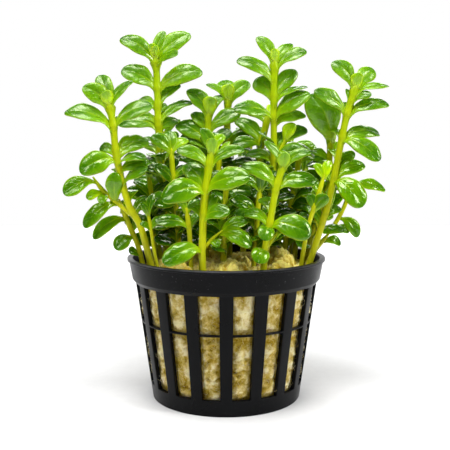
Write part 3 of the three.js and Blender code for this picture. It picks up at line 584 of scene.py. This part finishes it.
def wool_material(name):
    n = Nodes(name)
    clumps = n.noise(n.place(), 230, 3, 0.6, 0.6)
    tufts = n.noise(n.place(), 850, 3, 0.65, 0.8)
    upright = n.noise(n.place((1, 1, 0.3)), 3400, 4, 0.7, 1.2)
    crossing = n.noise(n.place((0.3, 1, 1)), 3400, 4, 0.7, 1.2)
    fuzz = n.math("MAXIMUM", upright, crossing)
    # On the plug the depth field brings in painted shade: darker in the hollows and behind the plastic.
    level = n.total(n.field("depth"), (clumps, 0.9, -0.45), (tufts, 1.1, -0.57), (fuzz, 0.6, -0.34))
    colour = n.ramp(level, (0, (0.15, 0.09, 0.003)), (0.22, (0.31, 0.195, 0.008)),
                    (0.45, (0.47, 0.33, 0.04)), (0.7, (0.65, 0.5, 0.14)), (1, (0.88, 0.78, 0.44)))
    # Painted light: the top takes the tint of the light that the leaves above throw back onto it.
    upper = n.between(n.height(), (WOOL_TOP - GOLDEN) * MM, WOOL_TOP * MM)
    colour = n.mix(upper, colour, (1, 0.96, 0.42), "MULTIPLY")
    normal = n.bump(fuzz, 0.8, 0.0003, Normal=n.bump(tufts, 0.8, 0.0008))
    return n.finish(colour=colour, roughness=0.9, normal=normal, specular=0.08, sheen=0.02,
                    soft=0.3, soft_radius=(1, 0.75, 0.25), soft_scale=0.0015)


# A painted highlight: the rim's edge is painted pale from the first to the second distance below its top
# and in from outside.
HIGHLIGHT_BELOW = (0.45, 0.2)
HIGHLIGHT_INSIDE = (0.3, 0.1)


def plastic_material():
    n = Nodes("pot_plastic")
    cloud = n.noise(n.place(), 90, 3)
    grain = n.noise(n.place(), 2400, 2)
    colour = n.ramp(cloud, (0.3, (0.0013, 0.0015, 0.0019)), (0.7, (0.0032, 0.0035, 0.0044)))
    # Fine pale specks where the moulded edges are rubbed
    specks = n.between(n.noise(n.place(), 1700, 3, 0.7), 0.64, 0.74)
    colour = n.mix(n.times(n.times(specks, n.field("edge")), 0.3), colour, (0.3, 0.3, 0.31))
    # Painted highlight: a pale line along the rim's top outer edge, a glint of the lights.
    rim = n.between(n.height(), *((POT_HEIGHT - below) * MM for below in HIGHLIGHT_BELOW))
    rim = n.times(rim, n.between(n.out(), *((RIM_RADIUS - inside) * MM for inside in HIGHLIGHT_INSIDE)))
    colour = n.mix(n.times(rim, n.between(cloud, 0.3, 0.7, 0.25, 0.9)), colour, (0.075, 0.076, 0.08))
    return n.finish(colour=colour, roughness=n.between(cloud, 0.3, 0.7, 0.26, 0.42),
                    normal=n.bump(grain, 0.25, 0.00006), specular=0.1)


# The pot

SLAT_STEPS = 4
SLOT_STEPS = 6
FOOT_RING = 0.9
EDGE_ROUNDING = 0.16
# Edges that turn more than this, in radians, are rounded.
SHARP_TURN = 0.5
# The heights of the edges that are rubbed, and how wide each is rubbed
RUBBED_EDGES = ((LIP_BOTTOM, 0.35), (BAND_BOTTOM, 0.25), (0, 0.4))


def body_radius(z):
    return FOOT_RADIUS + (BODY_TOP_RADIUS - FOOT_RADIUS) * z / BODY_TOP


def around(radius, height, angle):
    """A point at an angle in degrees round the pot, counted from the front."""
    turn = math.radians(angle)
    return (radius * math.sin(turn), -radius * math.cos(turn), height)


def pot_skin():
    """The pot's points and faces, a skin over a grid of angles and section points, open at the slots."""
    levels = [SLOT_BOTTOM, HOOP_HEIGHT - HOOP_THICK / 2, HOOP_HEIGHT + HOOP_THICK / 2, BODY_TOP]
    outside = [(FOOT_RADIUS - FOOT_RING, 0)] + [(body_radius(z), z) for z in [0] + levels]
    rim = [
        (BAND_BOTTOM_RADIUS, BAND_BOTTOM), (BAND_TOP_RADIUS, LIP_BOTTOM),
        (RIM_RADIUS, LIP_BOTTOM + LIP_SLOPE), (RIM_RADIUS, POT_HEIGHT),
        (RIM_RADIUS - RIM_WALL, POT_HEIGHT), (BAND_BOTTOM_RADIUS - RIM_WALL, BAND_BOTTOM),
    ]
    inside = [(body_radius(z) - WALL, z) for z in [FLOOR] + levels]
    section = outside + rim + inside[::-1]
    count = len(section)

    columns = []
    slat = 2 * SLAT_HALF_ANGLE
    for i in range(SLAT_COUNT):
        left = i * PITCH - SLAT_HALF_ANGLE
        columns += [(left + slat * k / SLAT_STEPS, False) for k in range(SLAT_STEPS)]
        columns += [(left + slat + (PITCH - slat) * k / SLOT_STEPS, True) for k in range(SLOT_STEPS)]
    points = [around(radius, z, angle) for angle, _ in columns for radius, z in section]
    points += [(0, 0, 0), (0, 0, FLOOR)]
    faces = []

    def corner(column, row):
        return (column % len(columns)) * count + row

    def face(column, rows):
        faces.append(tuple(corner(column, row) for row in rows))

    def quad(column, low, high):
        faces.append((corner(column, low), corner(column + 1, low), corner(column + 1, high),
                      corner(column, high)))

    # The wall is open between these outer rows, and the inner row level with an outer one is count - row.
    spans = [(2, 3), (4, 5)]
    skipped = {low for low, _ in spans} | {count - high for _, high in spans}
    for column, (_, is_open) in enumerate(columns):
        for row in range(count - 1):
            if not (is_open and row in skipped):
                quad(column, row, row + 1)
        faces.append((len(points) - 2, corner(column + 1, 0), corner(column, 0)))
        faces.append((len(points) - 1, corner(column, count - 1), corner(column + 1, count - 1)))
        if is_open:
            for low, high in spans:
                quad(column, low, count - low)
                quad(column, count - high, high)
                if not columns[column - 1][1]:
                    face(column, (low, high, count - high, count - low))
                if not columns[(column + 1) % len(columns)][1]:
                    face(column + 1, (count - low, count - high, high, low))
    return points, faces


def pot_piece(material):
    points, faces = pot_skin()
    work = bmesh.new()
    made = [work.verts.new(point) for point in points]
    for face in faces:
        work.faces.new([made[k] for k in face])
    bmesh.ops.remove_doubles(work, verts=work.verts, dist=1e-5)
    bmesh.ops.recalc_face_normals(work, faces=work.faces)
    sharp = [edge for edge in work.edges if edge.is_manifold and edge.calc_face_angle() > SHARP_TURN]
    bmesh.ops.bevel(work, geom=sharp, offset=EDGE_ROUNDING, segments=2, profile=0.6,
                    affect="EDGES", clamp_overlap=True)
    mesh = mesh_from(work, "pot_body")

    spots = np.empty(len(mesh.vertices) * 3, np.float32)
    mesh.vertices.foreach_get("co", spots)
    x, y, z = spots.reshape(-1, 3).T / MM
    rubbed = np.max([bell(z - height, wide) for height, wide in RUBBED_EDGES], axis=0)
    piece = dressed(mesh, material, {"edge": rubbed * (np.hypot(x, y) > FOOT_RADIUS - 1)})
    cut_drains(piece)
    weight = piece.modifiers.new("weight", "WEIGHTED_NORMAL")
    weight.weight = 80
    return piece


def cut_drains(piece):
    """Slots through the pot's floor that let water out."""
    cutter = bmesh.new()
    place = Matrix.Translation(((DRAIN_INNER + DRAIN_OUTER) / 2, 0, 0))
    size = Matrix.Diagonal((DRAIN_OUTER - DRAIN_INNER, DRAIN_WIDTH, 4 * FLOOR, 1))
    for i in range(DRAIN_COUNT):
        turn = Matrix.Rotation((i + 0.5) * 2 * math.pi / DRAIN_COUNT, 4, "Z")
        bmesh.ops.create_cube(cutter, size=1, matrix=turn @ place @ size)
    drains = linked("drains", mesh_from(cutter, "drains"))
    cut = piece.modifiers.new("drains", "BOOLEAN")
    cut.operation = "DIFFERENCE"
    cut.object = drains
    cut.solver = "EXACT"
    shown = piece.evaluated_get(bpy.context.evaluated_depsgraph_get())
    mesh = bpy.data.meshes.new_from_object(shown)
    piece.modifiers.clear()
    piece.data = mesh
    bpy.data.objects.remove(drains)


# The rock wool

WOOL_COLUMNS = 408
WOOL_SIDE_ROWS = 104
WOOL_TOP_ROWS = 56
WOOL_BULGE = 1
# The side ends this far below the top, and its hollows lie this far inside the wall.
SIDE_END = 0.6
SIDE_INSET = 0.35
# The wool is pinched in over these heights, round the hoop and at the ends of the slots.
HOOP_PINCH = 1.8
END_PINCH = 1.6
END_REACH = 0.2
# The sizes of its tufts on the side and on the top, and of the finer ones on them
SIDE_TUFTS = 2.6
TOP_TUFTS = 2.4
FINE_TUFTS = 0.7
FINE_SHARE = 0.35
# The top has waves, drops towards the wall, and has lumps sunk into it.
TOP_WAVE = 0.9
TOP_WAVE_LENGTH = 5
TOP_INSET = 0.8
EDGE_DROP = 1.6
EDGE_SLOPE = 3.5
LUMP_SPREAD = 1.3
LUMP_SINK = 0.4
# Fibres grow on the side where it swells by more than this.
FIBRE_SWELL = 0.55


def wool_swell(angle, z):
    """How far the wool swells out at an angle and a height, from 0 behind the plastic to 1."""
    offset = abs((angle + PITCH / 2) % PITCH - PITCH / 2)
    into = (offset - SLAT_HALF_ANGLE) / (PITCH / 2 - SLAT_HALF_ANGLE)
    side = math.sin(clamped(into) * math.pi / 2) ** 0.45
    hoop = clamped(abs(z - HOOP_HEIGHT) / HOOP_PINCH)
    low = clamped((z - SLOT_BOTTOM + END_REACH) / END_PINCH)
    high = clamped((BODY_TOP + END_REACH - z) / END_PINCH)
    return side * math.sqrt(hoop * low * high)


def wool_height(x, y):
    """The lumpy top of the wool, without its fine tufts."""
    high = WOOL_TOP - TOP_WAVE + TOP_WAVE * fractal((x, y, 3), TOP_WAVE_LENGTH, 3)
    for lump_x, lump_y, reach, rise in WOOL_LUMPS:
        turn = lump_x + lump_y
        dx = x - lump_x
        dy = y - lump_y
        along = (dx * math.cos(turn) + dy * math.sin(turn)) / reach
        side = (dy * math.cos(turn) - dx * math.sin(turn)) / (LUMP_DEPTH * reach)
        far = (along * along + side * side) / LUMP_SPREAD
        if far < 1:
            high = max(high, WOOL_TOP + rise * math.sqrt(1 - far) - LUMP_SINK)
    return high


def tufts_at(x, y, z, size):
    return fractal((x, y, z), size) + FINE_SHARE * fractal((x + 40, y, z), FINE_TUFTS, 2)


def wool_side():
    """The points of the wool's side, each with how pale it is, with painted shade in, and whether fibres
    grow there.
    """
    for row in range(WOOL_SIDE_ROWS):
        z = WOOL_FOOT + (WOOL_TOP - SIDE_END - WOOL_FOOT) * row / (WOOL_SIDE_ROWS - 1)
        behind = body_radius(min(z, BODY_TOP)) - WALL - GAP
        for column in range(WOOL_COLUMNS):
            angle = 360 * column / WOOL_COLUMNS
            swell = wool_swell(angle, z)
            x, y, _ = around(behind, z, angle)
            tuft = tufts_at(x, y, z, SIDE_TUFTS)
            reach = behind - SIDE_INSET + WOOL_BULGE * swell + (0.2 + 0.6 * swell) * (tuft - 0.15)
            if z > BODY_TOP:
                top = (z - BODY_TOP) / (WOOL_TOP - BODY_TOP)
                reach = behind - 0.5 - 0.8 * top + 0.4 * (tuft - 0.2)
            # It stays inside the slats, and in the slots about level with the pot's outside.
            reach = min(reach, behind + GAP - 0.05 + (WALL + 0.25) * min(1, 3 * swell))
            point = around(reach, z + 0.3 * fractal((x, y, z + 60), 1.5, 2), angle)
            # Painted shade: darker in the hollows between tufts and where the wool sinks behind the slats;
            # it is also darker towards the bottom.
            shaded_paleness = 0.48 + 0.55 * tuft + 0.22 * swell + 0.1 * z / BODY_TOP
            yield point, shaded_paleness, swell > FIBRE_SWELL


def wool_top():
    """The same for the wool's top, in rings from the edge inwards, with painted shade in its hollows."""
    outer = body_radius(BODY_TOP) - WALL - GAP - TOP_INSET
    for row in range(1, WOOL_TOP_ROWS + 1):
        radius = outer * (1 - (row / WOOL_TOP_ROWS) ** 0.9) + 0.02
        edge = smoothstep(outer - EDGE_SLOPE, outer, radius)
        for column in range(WOOL_COLUMNS):
            x, y, _ = around(radius, 0, 360 * column / WOOL_COLUMNS)
            tuft = tufts_at(x, y, 9, TOP_TUFTS)
            fluff = fractal((x, y, 50), 1, 2)
            high = wool_height(x, y) - EDGE_DROP * edge * edge + 1.1 * tuft + 0.8 * fluff
            x += 0.5 * fractal((x, y, 21), 1.6, 2)
            y += 0.5 * fractal((x, y, 33), 1.6, 2)
            # Painted shade: the top is darker in the hollows between its tufts and lumps.
            yield (x, y, high), 0.85 + 0.5 * tuft + 0.5 * fluff + 0.08 * (high - WOOL_TOP), True


def wool_pieces(material, fibre_material):
    grid = [*wool_side(), *wool_top()]
    count = len(grid)
    middles = [((0, 0, WOOL_FOOT), 0.3, False), ((0, 0, wool_height(0, 0)), 0.5, False)]
    points, shaded_paleness, is_base = zip(*grid, *middles)
    faces = tube_faces(count // WOOL_COLUMNS, WOOL_COLUMNS)
    faces += [face[::-1] for face in cap_faces(0, WOOL_COLUMNS, count)]
    faces += cap_faces(count - WOOL_COLUMNS, WOOL_COLUMNS, count + 1)
    wool = mesh_object("rock_wool_plug", points, faces, material, {"depth": shaded_paleness})
    return [wool, wool_fibres(wool, np.array(points), np.array(is_base), fibre_material)]


FIBRE_COUNT = 7400
FIBRE_STEPS = 5
FIBRE_SIDES = 3
FIBRE_TURN = 2.1
# The chance of a fibre on the wool's top, next to one in the slots
TOP_FIBRES = 0.7
# Ranges of a fibre's length, its lift off the wool, its radius and how pale it is
FIBRE_LONG = (0.8, 2.4)
FIBRE_LIFT = (0.08, 0.6)
FIBRE_THICK = (0.025, 0.045)
FIBRE_PALE = (0.65, 1.25)
FIBRE_SINK = 0.08
FIBRE_NARROWING = 0.6
FIBRE_BEND = 0.7
FIBRE_WAVER = 0.05


def wool_fibres(wool, points, is_base, material):
    """Loose fibres that lie on the wool and stand off it a little."""
    draw = np.random.RandomState(11)
    normals = np.empty(len(points) * 3, np.float32)
    wool.data.vertices.foreach_get("normal", normals)
    normals = normals.reshape(-1, 3)
    chance = np.where(points[:, 2] > BODY_TOP + 2, TOP_FIBRES, 1) * is_base
    feet = draw.choice(len(points), FIBRE_COUNT, replace=False, p=chance / chance.sum())
    parts = Parts("depth")
    share = np.linspace(0, 1, FIBRE_STEPS)
    end = (FIBRE_STEPS - 1) * FIBRE_SIDES
    faces = tube_faces(FIBRE_STEPS, FIBRE_SIDES) + [(2, 1, 0), (end, end + 1, end + 2)]
    turn = FIBRE_TURN * np.arange(FIBRE_SIDES)[:, None]
    for foot in feet:
        out = normals[foot].astype(float)
        side = unit(np.cross(out, draw.normal(size=3)))
        bend = unit(np.cross(out, side)) * draw.uniform(-FIBRE_BEND, FIBRE_BEND)
        long = draw.uniform(*FIBRE_LONG)
        lift = draw.uniform(*FIBRE_LIFT) * np.sin(share * np.pi) - FIBRE_SINK
        line = (points[foot] + out * lift[:, None] + side * (share * long)[:, None]
                + bend * (long * share * share)[:, None])
        line += draw.normal(scale=FIBRE_WAVER, size=line.shape)
        thick = draw.uniform(*FIBRE_THICK) * (1 - FIBRE_NARROWING * share)
        ring = np.cos(turn) * out + np.sin(turn) * unit(np.cross(side, out))
        tube = line[:, None] + thick[:, None, None] * ring
        parts.add(tube.reshape(-1, 3), faces, depth=draw.uniform(*FIBRE_PALE))
    return parts.piece("rock_wool_fibres", material)


# The shoots

STEM_RING = 14
STEM_STEP = 0.6
FEWEST_STEM_ROWS = 8
# A stem's radius as a share of its faceted solid's: at the foot in front, at the foot from this depth
# on, and at the tip. It is faintly four-sided.
FRONT_STEM_SHARE = 0.76
BACK_STEM_SHARE = 0.95
BACK_STEM_DEPTH = 7
TIP_STEM_SHARE = 0.8
FOUR_SIDED = 0.035
# A stem swells at a node and has a dark ring just below it.
NODE_SWELL = 0.05
NODE_LENGTH = 0.8
RING_BELOW = 0.4
RING_LENGTH = 0.45
# Below a leaf the stem widens towards it by a share of its radius, more for long leaves that rise, and
# less near the tip, where the stem narrows.
FLARE_OUT = 0.75
FLARE_LENGTH = 3.2
FLARE_ABOVE = 1.6
FLARE_POWER = 1.6
FLARE_LEAF = 9
FLARE_RISE = 25
TIP_FLARE = 0.3
TIP_NARROWING = 0.6
TIP_LENGTH = 3
# A stem's colour runs from the foot's to the tip's over these heights, farther in the front stems.
STEM_PALES = (38, 88)
FRONT_STEM = -15
FRONT_PALER = 0.25
# Where a leaf's cross-section has points, from the midrib to the margin
LEAF_HALF = (0, 0.07, 0.2, 0.42, 0.66, 0.87, 1)
LEAF_ROWS = 17
# The stalk's share of a leaf, and the ranges of the place on its blade where it is widest, the power by
# which its base widens, and its fold, droop and twist
STALK_SHARE = 0.04
LEAF_WIDEST = (0.5, 0.6)
LEAF_BASE = (1, 1.3)
LEAF_SHAPE = ((-0.04, 0.16), (-0.02, 0.09), (-0.16, 0.16))
# A leaf's thickness, the depths of the groove over its midrib and the keel under it, and, as shares of
# its half width, how far its halves rise and its margins roll down
LEAF_THICK = 0.24
GROOVE_DEPTH = 0.07
KEEL_DEPTH = 0.22
PILLOW_RISE = 0.045
MARGIN_ROLL = 0.1
# The upper side of a leaf's foot meets the stem a little over the node.
NODE_RISE = 0.3
# A stem thicker than this is a shoot's main one, not a twig.
MAIN_STEM = 0.7

# The main stems of these shoots, inside the bush, carry small leaf pairs besides their own.
FILLED = ("rear", "inner", "back", "behind", "centre", "right_inner", "right_short")
FILL_FOOT = 42
FILL_TOP = 70
FILL_BELOW_TIP = 6
FILL_STEP = 3
FILL_SHIFT = (-0.5, 0.5)
FILL_TURN = (-25, 25)
# Ranges of such a leaf's rise, length, face and breadth
FILL_LEAF = ((0, 40), (6.5, 9.5), (25, 65), (0.48, 0.6))

# The other main stems carry short leaves at their back, crosswise to their pairs.
BACK_FOOT = (54, 57)
BACK_BELOW_TIP = 5
BACK_STEP = (5.5, 7.5)
# Ranges of such a leaf's way, rise, length, face and breadth
BACK_LEAF = ((60, 120), (5, 35), (5, 7.2), (10, 40), (0.48, 0.58))

# The stretches over which leaves are painted brighter, partly a fresher green and partly painted light:
# towards the front, upwards and towards the sides
BRIGHT_FRONT = (-6, -18)
BRIGHT_UP = (58, 76)
BRIGHT_SIDE = (16, 30)
# A leaf this short and this near the tip of a stem this high is young: lime green, and painted brighter
# still for light that shines through it.
YOUNG_LEAF = 5.6
YOUNG_DEPTH = 4
YOUNG_TIP = 60
YOUNG_TONE = 0.42


def plan_way(leaf):
    way = math.radians(leaf.way)
    return np.array([math.cos(way), math.sin(way), 0])


def tone_at(place):
    """How bright a leaf's green is, from dark inside the bush to bright outside: partly a deeper green
    inside, partly painted shade.
    """
    front = 0.75 * smoothstep(*BRIGHT_FRONT, place[1])
    high = 0.9 * smoothstep(*BRIGHT_UP, place[2])
    outer = 0.9 * smoothstep(*BRIGHT_SIDE, abs(place[0]))
    return float(0.23 + 0.35 * max(front, high, outer))


def drawn(draw, ranges):
    return [draw.uniform(*span) for span in ranges]


def fill_leaves(one, draw):
    leaves = []
    height = FILL_FOOT
    way = draw.uniform(0, 360)
    while height < min(one.line[-1, 2] - FILL_BELOW_TIP, FILL_TOP):
        for turn in (0, 180):
            node = height + draw.uniform(*FILL_SHIFT)
            leaves.append(Leaf(node, way + turn, *drawn(draw, FILL_LEAF)))
        way += 90 + draw.uniform(*FILL_TURN)
        height += FILL_STEP
    return leaves


def back_leaves(one, seed):
    draw = np.random.RandomState(seed)
    leaves = []
    height = draw.uniform(*BACK_FOOT)
    while height < one.line[-1, 2] - BACK_BELOW_TIP:
        leaves.append(Leaf(height, *drawn(draw, BACK_LEAF)))
        height += draw.uniform(*BACK_STEP)
    return leaves


def stem_radius(one, share):
    """The shown radius of a stem: the stems at the back are the fuller ones."""
    back = smoothstep(0, BACK_STEM_DEPTH, one.line[0, 1])
    at_foot = FRONT_STEM_SHARE + (BACK_STEM_SHARE - FRONT_STEM_SHARE) * back
    return one.thick * (at_foot + (TIP_STEM_SHARE - FRONT_STEM_SHARE) * share)


def stem_mesh(parts, one):
    count = max(FEWEST_STEM_ROWS, round(line_length(one.line) / STEM_STEP))
    share = np.linspace(0, 1, count)
    centre = curve_at(one.line, share)
    ahead = unit(np.gradient(centre, axis=0))
    side = unit(np.cross((0, 1, 0), ahead))
    depth = np.cross(ahead, side)
    height = centre[:, 2]
    top = height[-1]

    radius = stem_radius(one, share)
    ring_mark = np.zeros(count)
    for node in sorted({min(leaf.node, top - NODE_DEPTH) for leaf in one.leaves}):
        ring_mark = np.maximum(ring_mark, bell(height - node + RING_BELOW, RING_LENGTH))
        radius = radius * (1 + NODE_SWELL * bell(height - node, NODE_LENGTH))
    radius = radius * (1 - TIP_NARROWING * smoothstep(TIP_LENGTH, 0, top - height))
    turn = np.arange(STEM_RING) * 2 * math.pi / STEM_RING
    ways = np.cos(turn)[:, None] * side[:, None] + np.sin(turn)[:, None] * depth[:, None]

    flares = np.zeros((count, STEM_RING))
    for leaf in one.leaves:
        above = height - min(leaf.node, top - NODE_DEPTH)
        flare = np.where(above < 0, smoothstep(-FLARE_LENGTH, 0, above) ** FLARE_POWER,
                         smoothstep(FLARE_ABOVE, 0, above))
        facing = clamped(ways @ plan_way(leaf))
        old = TIP_FLARE + (1 - TIP_FLARE) * smoothstep(6, 1, top - leaf.node)
        steep = max(math.sin(math.radians(leaf.rise + FLARE_RISE)), 0.2)
        size = FLARE_OUT * min(leaf.long / FLARE_LEAF, 1.2) * old * steep
        flares = np.maximum(flares, size * flare[:, None] * facing ** 2)
    out = radius[:, None] * (1 + FOUR_SIDED * np.cos(4 * turn + one.line[0, 0]) + flares)

    tip = centre[-1] + ahead[-1] * radius[-1] * 0.6
    points = np.vstack([(centre[:, None] + out[:, :, None] * ways).reshape(-1, 3), tip])
    low, high = STEM_PALES
    up = (points[:, 2] - low) / (high - low) + FRONT_PALER * (points[:, 1] < FRONT_STEM)
    parts.add(points, closed_faces(count, STEM_RING), share=clamped(up),
              ring=np.append(np.repeat(ring_mark, STEM_RING), 0))


def leaf_ways(leaf):
    """Unit vectors along a leaf, across it, out of its upper side, and the way that it bows."""
    rise = math.radians(leaf.rise)
    face = math.radians(leaf.face)
    along = math.cos(rise) * plan_way(leaf) + (0, 0, math.sin(rise))
    upper = np.array([0, -math.sin(face), math.cos(face)])
    upper = unit(upper - along * upper.dot(along))
    # It bows upwards, partly straight up and partly to its upper side.
    bow = unit((0, 0, 1) - along * along[2] + 0.02) if abs(along[2]) < 0.98 else upper
    return along, np.cross(upper, along), upper, unit(0.5 * bow + 0.6 * upper)


def leaf_half_width(leaf, s, radius, draw):
    """Half a leaf's width at shares s of its length: a stalk that widens towards the stem, and a blade
    that grows to its widest place and ends in a round tip."""
    b = clamped((s - STALK_SHARE) / (1 - STALK_SHARE))
    widest = draw.uniform(*LEAF_WIDEST)
    base = np.sin(0.5 * np.pi * np.minimum(b / widest, 1)) ** draw.uniform(*LEAF_BASE)
    tip = clamped(1 - clamped((b - widest) / (1 - widest)) ** 2.3) ** 0.52
    stalk = max(0.035 * leaf.long, 0.32 * radius) + 0.8 * radius * bell(s * leaf.long, 2.2)
    half = 0.51 * leaf.broad * leaf.long * base * tip + stalk * (1 - b) ** 3
    return half * (1 + 0.03 * np.sin(9 * s + draw.uniform(0, 6)))


def leaf_relief(signed, s, h, long, fold, phase):
    """How far a blade lifts off its plane: pillowed halves, rolled margins, a groove and waves."""
    a = np.abs(signed)
    pillow = fold * h * a ** 1.3 + PILLOW_RISE * h * np.sin(np.pi * a ** 0.8) - MARGIN_ROLL * h * a ** 4
    groove = GROOVE_DEPTH * bell(a, 0.11) * (1 - s) * np.minimum(1, h / 1.5)
    wave = long * (0.009 * np.sin(11 * s + 3 * signed + phase[0])
                   + 0.005 * np.sin(19 * s - 4 * signed + phase[1])
                   + 0.011 * np.sin(7 * s + 2 * signed * np.sign(phase[2] - 3) + phase[3]))
    return pillow - groove + wave * (0.35 + 0.65 * a)


def leaf_mesh(parts, one, leaf, draw, tone):
    """A leaf as a closed skin, in rows from its foot to its tip."""
    long = leaf.long
    share_up = min(share_at(one.line, leaf.node), 1 - NODE_DEPTH / line_length(one.line))
    start = curve_at(one.line, share_up)[0] + (0, 0, NODE_RISE)
    radius = float(stem_radius(one, share_up))
    along, across, upper, bow = leaf_ways(leaf)

    # Each row has its share s of the leaf's length and its half width h, in columns. Its points go over
    # the upper side from margin to margin and back below.
    s = 1 - (1 - np.linspace(0, 1, LEAF_ROWS)[:, None]) ** 1.45
    h = leaf_half_width(leaf, s, radius, draw)
    upper_t = np.array([-v for v in LEAF_HALF[:0:-1]] + list(LEAF_HALF))
    signed = np.concatenate([upper_t, upper_t[-2:0:-1]])
    is_low = np.arange(len(signed)) >= len(upper_t)
    a = np.abs(signed)

    fold, droop, twist = drawn(draw, LEAF_SHAPE)
    blade = smoothstep(0.06, 0.3, s)
    lift = blade * leaf_relief(signed, s, h, long, fold, draw.uniform(0, 6.3, 4))
    middle = LEAF_THICK * (0.6 + 0.4 * min(long / 9, 1.3))
    blade_thick = middle * np.sqrt(clamped(1 - a ** 2.4)) * (1 - 0.45 * s) + 0.05 * (a < 1)
    stalk_thick = np.sqrt(clamped(1 - a ** 2)) * np.minimum(h, 0.55 * radius + 0.1)
    thick = (stalk_thick + (blade_thick - stalk_thick) * blade) * np.minimum(1, h / 0.25)
    keel = KEEL_DEPTH * bell(a, 0.16) * blade * (1 - s) * np.minimum(1, h)
    lift = lift + np.where(is_low, -0.5 * thick - keel, 0.5 * thick)

    arch = LEAF_ARCH * 4 * s * (1 - s) * long - droop * long * clamped(2 * s - 1) ** 2
    line = start + along * (s * long) + bow * arch
    # The foot comes out of the stem from below.
    line[:, 2:] -= 1.7 * radius * clamped(1 - s * long / 3.2) ** 2
    cos = np.cos(twist * s)
    sin = np.sin(twist * s)
    side_way = across * cos + upper * sin
    up_way = upper * cos - across * sin
    points = (line[:, None] + (h * signed)[:, :, None] * side_way[:, None]
              + lift[:, :, None] * up_way[:, None])

    count = LEAF_ROWS - 1
    ring = len(signed)
    parts.add(np.vstack([points[:count].reshape(-1, 3), line[-1]]), closed_faces(count, ring),
              across=np.append(np.tile(signed, count), 0), along=np.append(np.repeat(s[:count], ring), 1),
              under=np.append(np.tile(is_low, count), 0), tone=tone, seed=draw.uniform(0, 1))


def shoot_pieces(key, stems, seed, stem_look, leaf_look):
    draw = np.random.RandomState(seed)
    stalks = Parts("share", "ring")
    blades = Parts("across", "along", "under", "tone", "seed")
    for one in stems:
        stem_mesh(stalks, one)
        more = []
        if one.thick > MAIN_STEM:
            more = fill_leaves(one, draw) if key.startswith(FILLED) else back_leaves(one, seed)
        top = one.line[-1, 2]
        for leaf in one.leaves + more:
            foot = curve_at(one.line, share_at(one.line, leaf.node))[0]
            tone = tone_at(foot + 0.5 * leaf.long * plan_way(leaf))
            young = leaf.long < YOUNG_LEAF and leaf.node > top - YOUNG_DEPTH and top > YOUNG_TIP
            # Young leaves are lime green, and also painted brighter for the light that shines through them.
            tone += draw.uniform(-0.08, 0.08) + (YOUNG_TONE if young else 0)
            leaf_mesh(blades, one, leaf, draw, tone)
    return (stalks.piece(f"shoot_{key}_stems", stem_look),
            blades.piece(f"shoot_{key}_leaves", leaf_look))


# The picture

def make_camera():
    data = bpy.data.cameras.new("camera")
    data.lens = CAMERA_LENS
    data.clip_start, data.clip_end = CAMERA_REACH
    camera = linked("camera", data)
    camera.location = [v * MM for v in CAMERA_PLACE]
    camera.rotation_euler = (math.radians(CAMERA_TILT), 0, 0)
    scene.camera = camera


FLOOR_REACH = 450
# Between these distances from the pot the floor is painted paler into the white background: painted light,
# so that no horizon shows.
FLOOR_FADE = (110, 400)


def make_floor():
    n = Nodes("floor")
    paper = n.noise(n.place(), 400, 2)
    colour = n.ramp(paper, (0.3, (0.69, 0.69, 0.69)), (0.7, (0.71, 0.71, 0.71)))
    away = n.between(n.out(), *(distance * MM for distance in FLOOR_FADE))
    colour = n.mix(away, colour, (0.95, 0.95, 0.95))
    look = n.finish(colour=colour, roughness=0.9, specular=0)
    corners = [(x * FLOOR_REACH, y * FLOOR_REACH, 0) for x, y in ((-1, -1), (1, -1), (1, 1), (-1, 1))]
    floor = mesh_object("floor", corners, [(0, 1, 2, 3)], look, {}, smooth=False)


# Each soft light: its place, the point that it faces, its width and height, and its power in watts
LIGHTS = {
    "top": ((-50, -130, 520), (0, 0, 50), (240, 170), 2.2),
    "key": ((-320, -300, 460), (0, 0, 50), (160, 160), 0.8),
    "right": ((420, -220, 400), (0, 0, 55), (110, 180), 1.9),
    "front": ((60, -620, 240), (0, 0, 50), (420, 220), 0.5),
    "back": ((0, 520, 420), (0, 0, 55), (500, 160), 1.6),
    "backdrop": ((0, 620, 180), (0, 0, 60), (1100, 700), 3),
}
# Fill light that gives no highlights of its own
FILL_LIGHTS = ("front",)
# The sky's light in watts a square metre, its width in degrees, and the light from all around
SKY_POWER = 1.15
SKY_ANGLE = 45
WORLD_LIGHT = 0.05


def make_lights():
    for name, (place, target, (width, height), power) in LIGHTS.items():
        data = bpy.data.lights.new(name, "AREA")
        data.shape = "RECTANGLE"
        data.size = width * MM
        data.size_y = height * MM
        data.energy = power
        light = linked(name, data)
        light.location = [v * MM for v in place]
        ahead = Vector(target) - Vector(place)
        light.rotation_euler = ahead.to_track_quat("-Z", "Y").to_euler()
        light.visible_camera = False
        light.visible_glossy = name not in FILL_LIGHTS
    sky = bpy.data.lights.new("sky", "SUN")
    sky.energy = SKY_POWER
    sky.angle = math.radians(SKY_ANGLE)
    linked("sky", sky).visible_glossy = False


def make_world():
    n = Nodes("studio", bpy.data.worlds)
    seen = n.put("LightPath", {}).outputs["Is Camera Ray"]
    background = n.tree.nodes["Background"].inputs
    n.give(background["Color"], (1, 1, 1))
    n.give(background["Strength"], n.math("MULTIPLY_ADD", seen, 1 - WORLD_LIGHT, WORLD_LIGHT))
    scene.world = n.owner
    scene.view_settings.view_transform = "Standard"


make_camera()

pot = pot_piece(plastic_material())
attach(pot, "root")
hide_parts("pot")

for piece in wool_pieces(wool_material("rock_wool"), wool_material("wool_fibres")):
    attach(piece, "root")
    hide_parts("rock_wool")

LOOKS = {"stem": stem_material(), "leaf": leaf_material()}
FIRST_SEED = 100
for number, (key, stems) in enumerate(SHOOTS.items()):
    name = "shoot_" + key
    for piece, slot in zip(shoot_pieces(key, stems, FIRST_SEED + number, *LOOKS.values()), LOOKS):
        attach(piece, "root")
        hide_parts(name)

make_floor()
make_lights()
make_world()
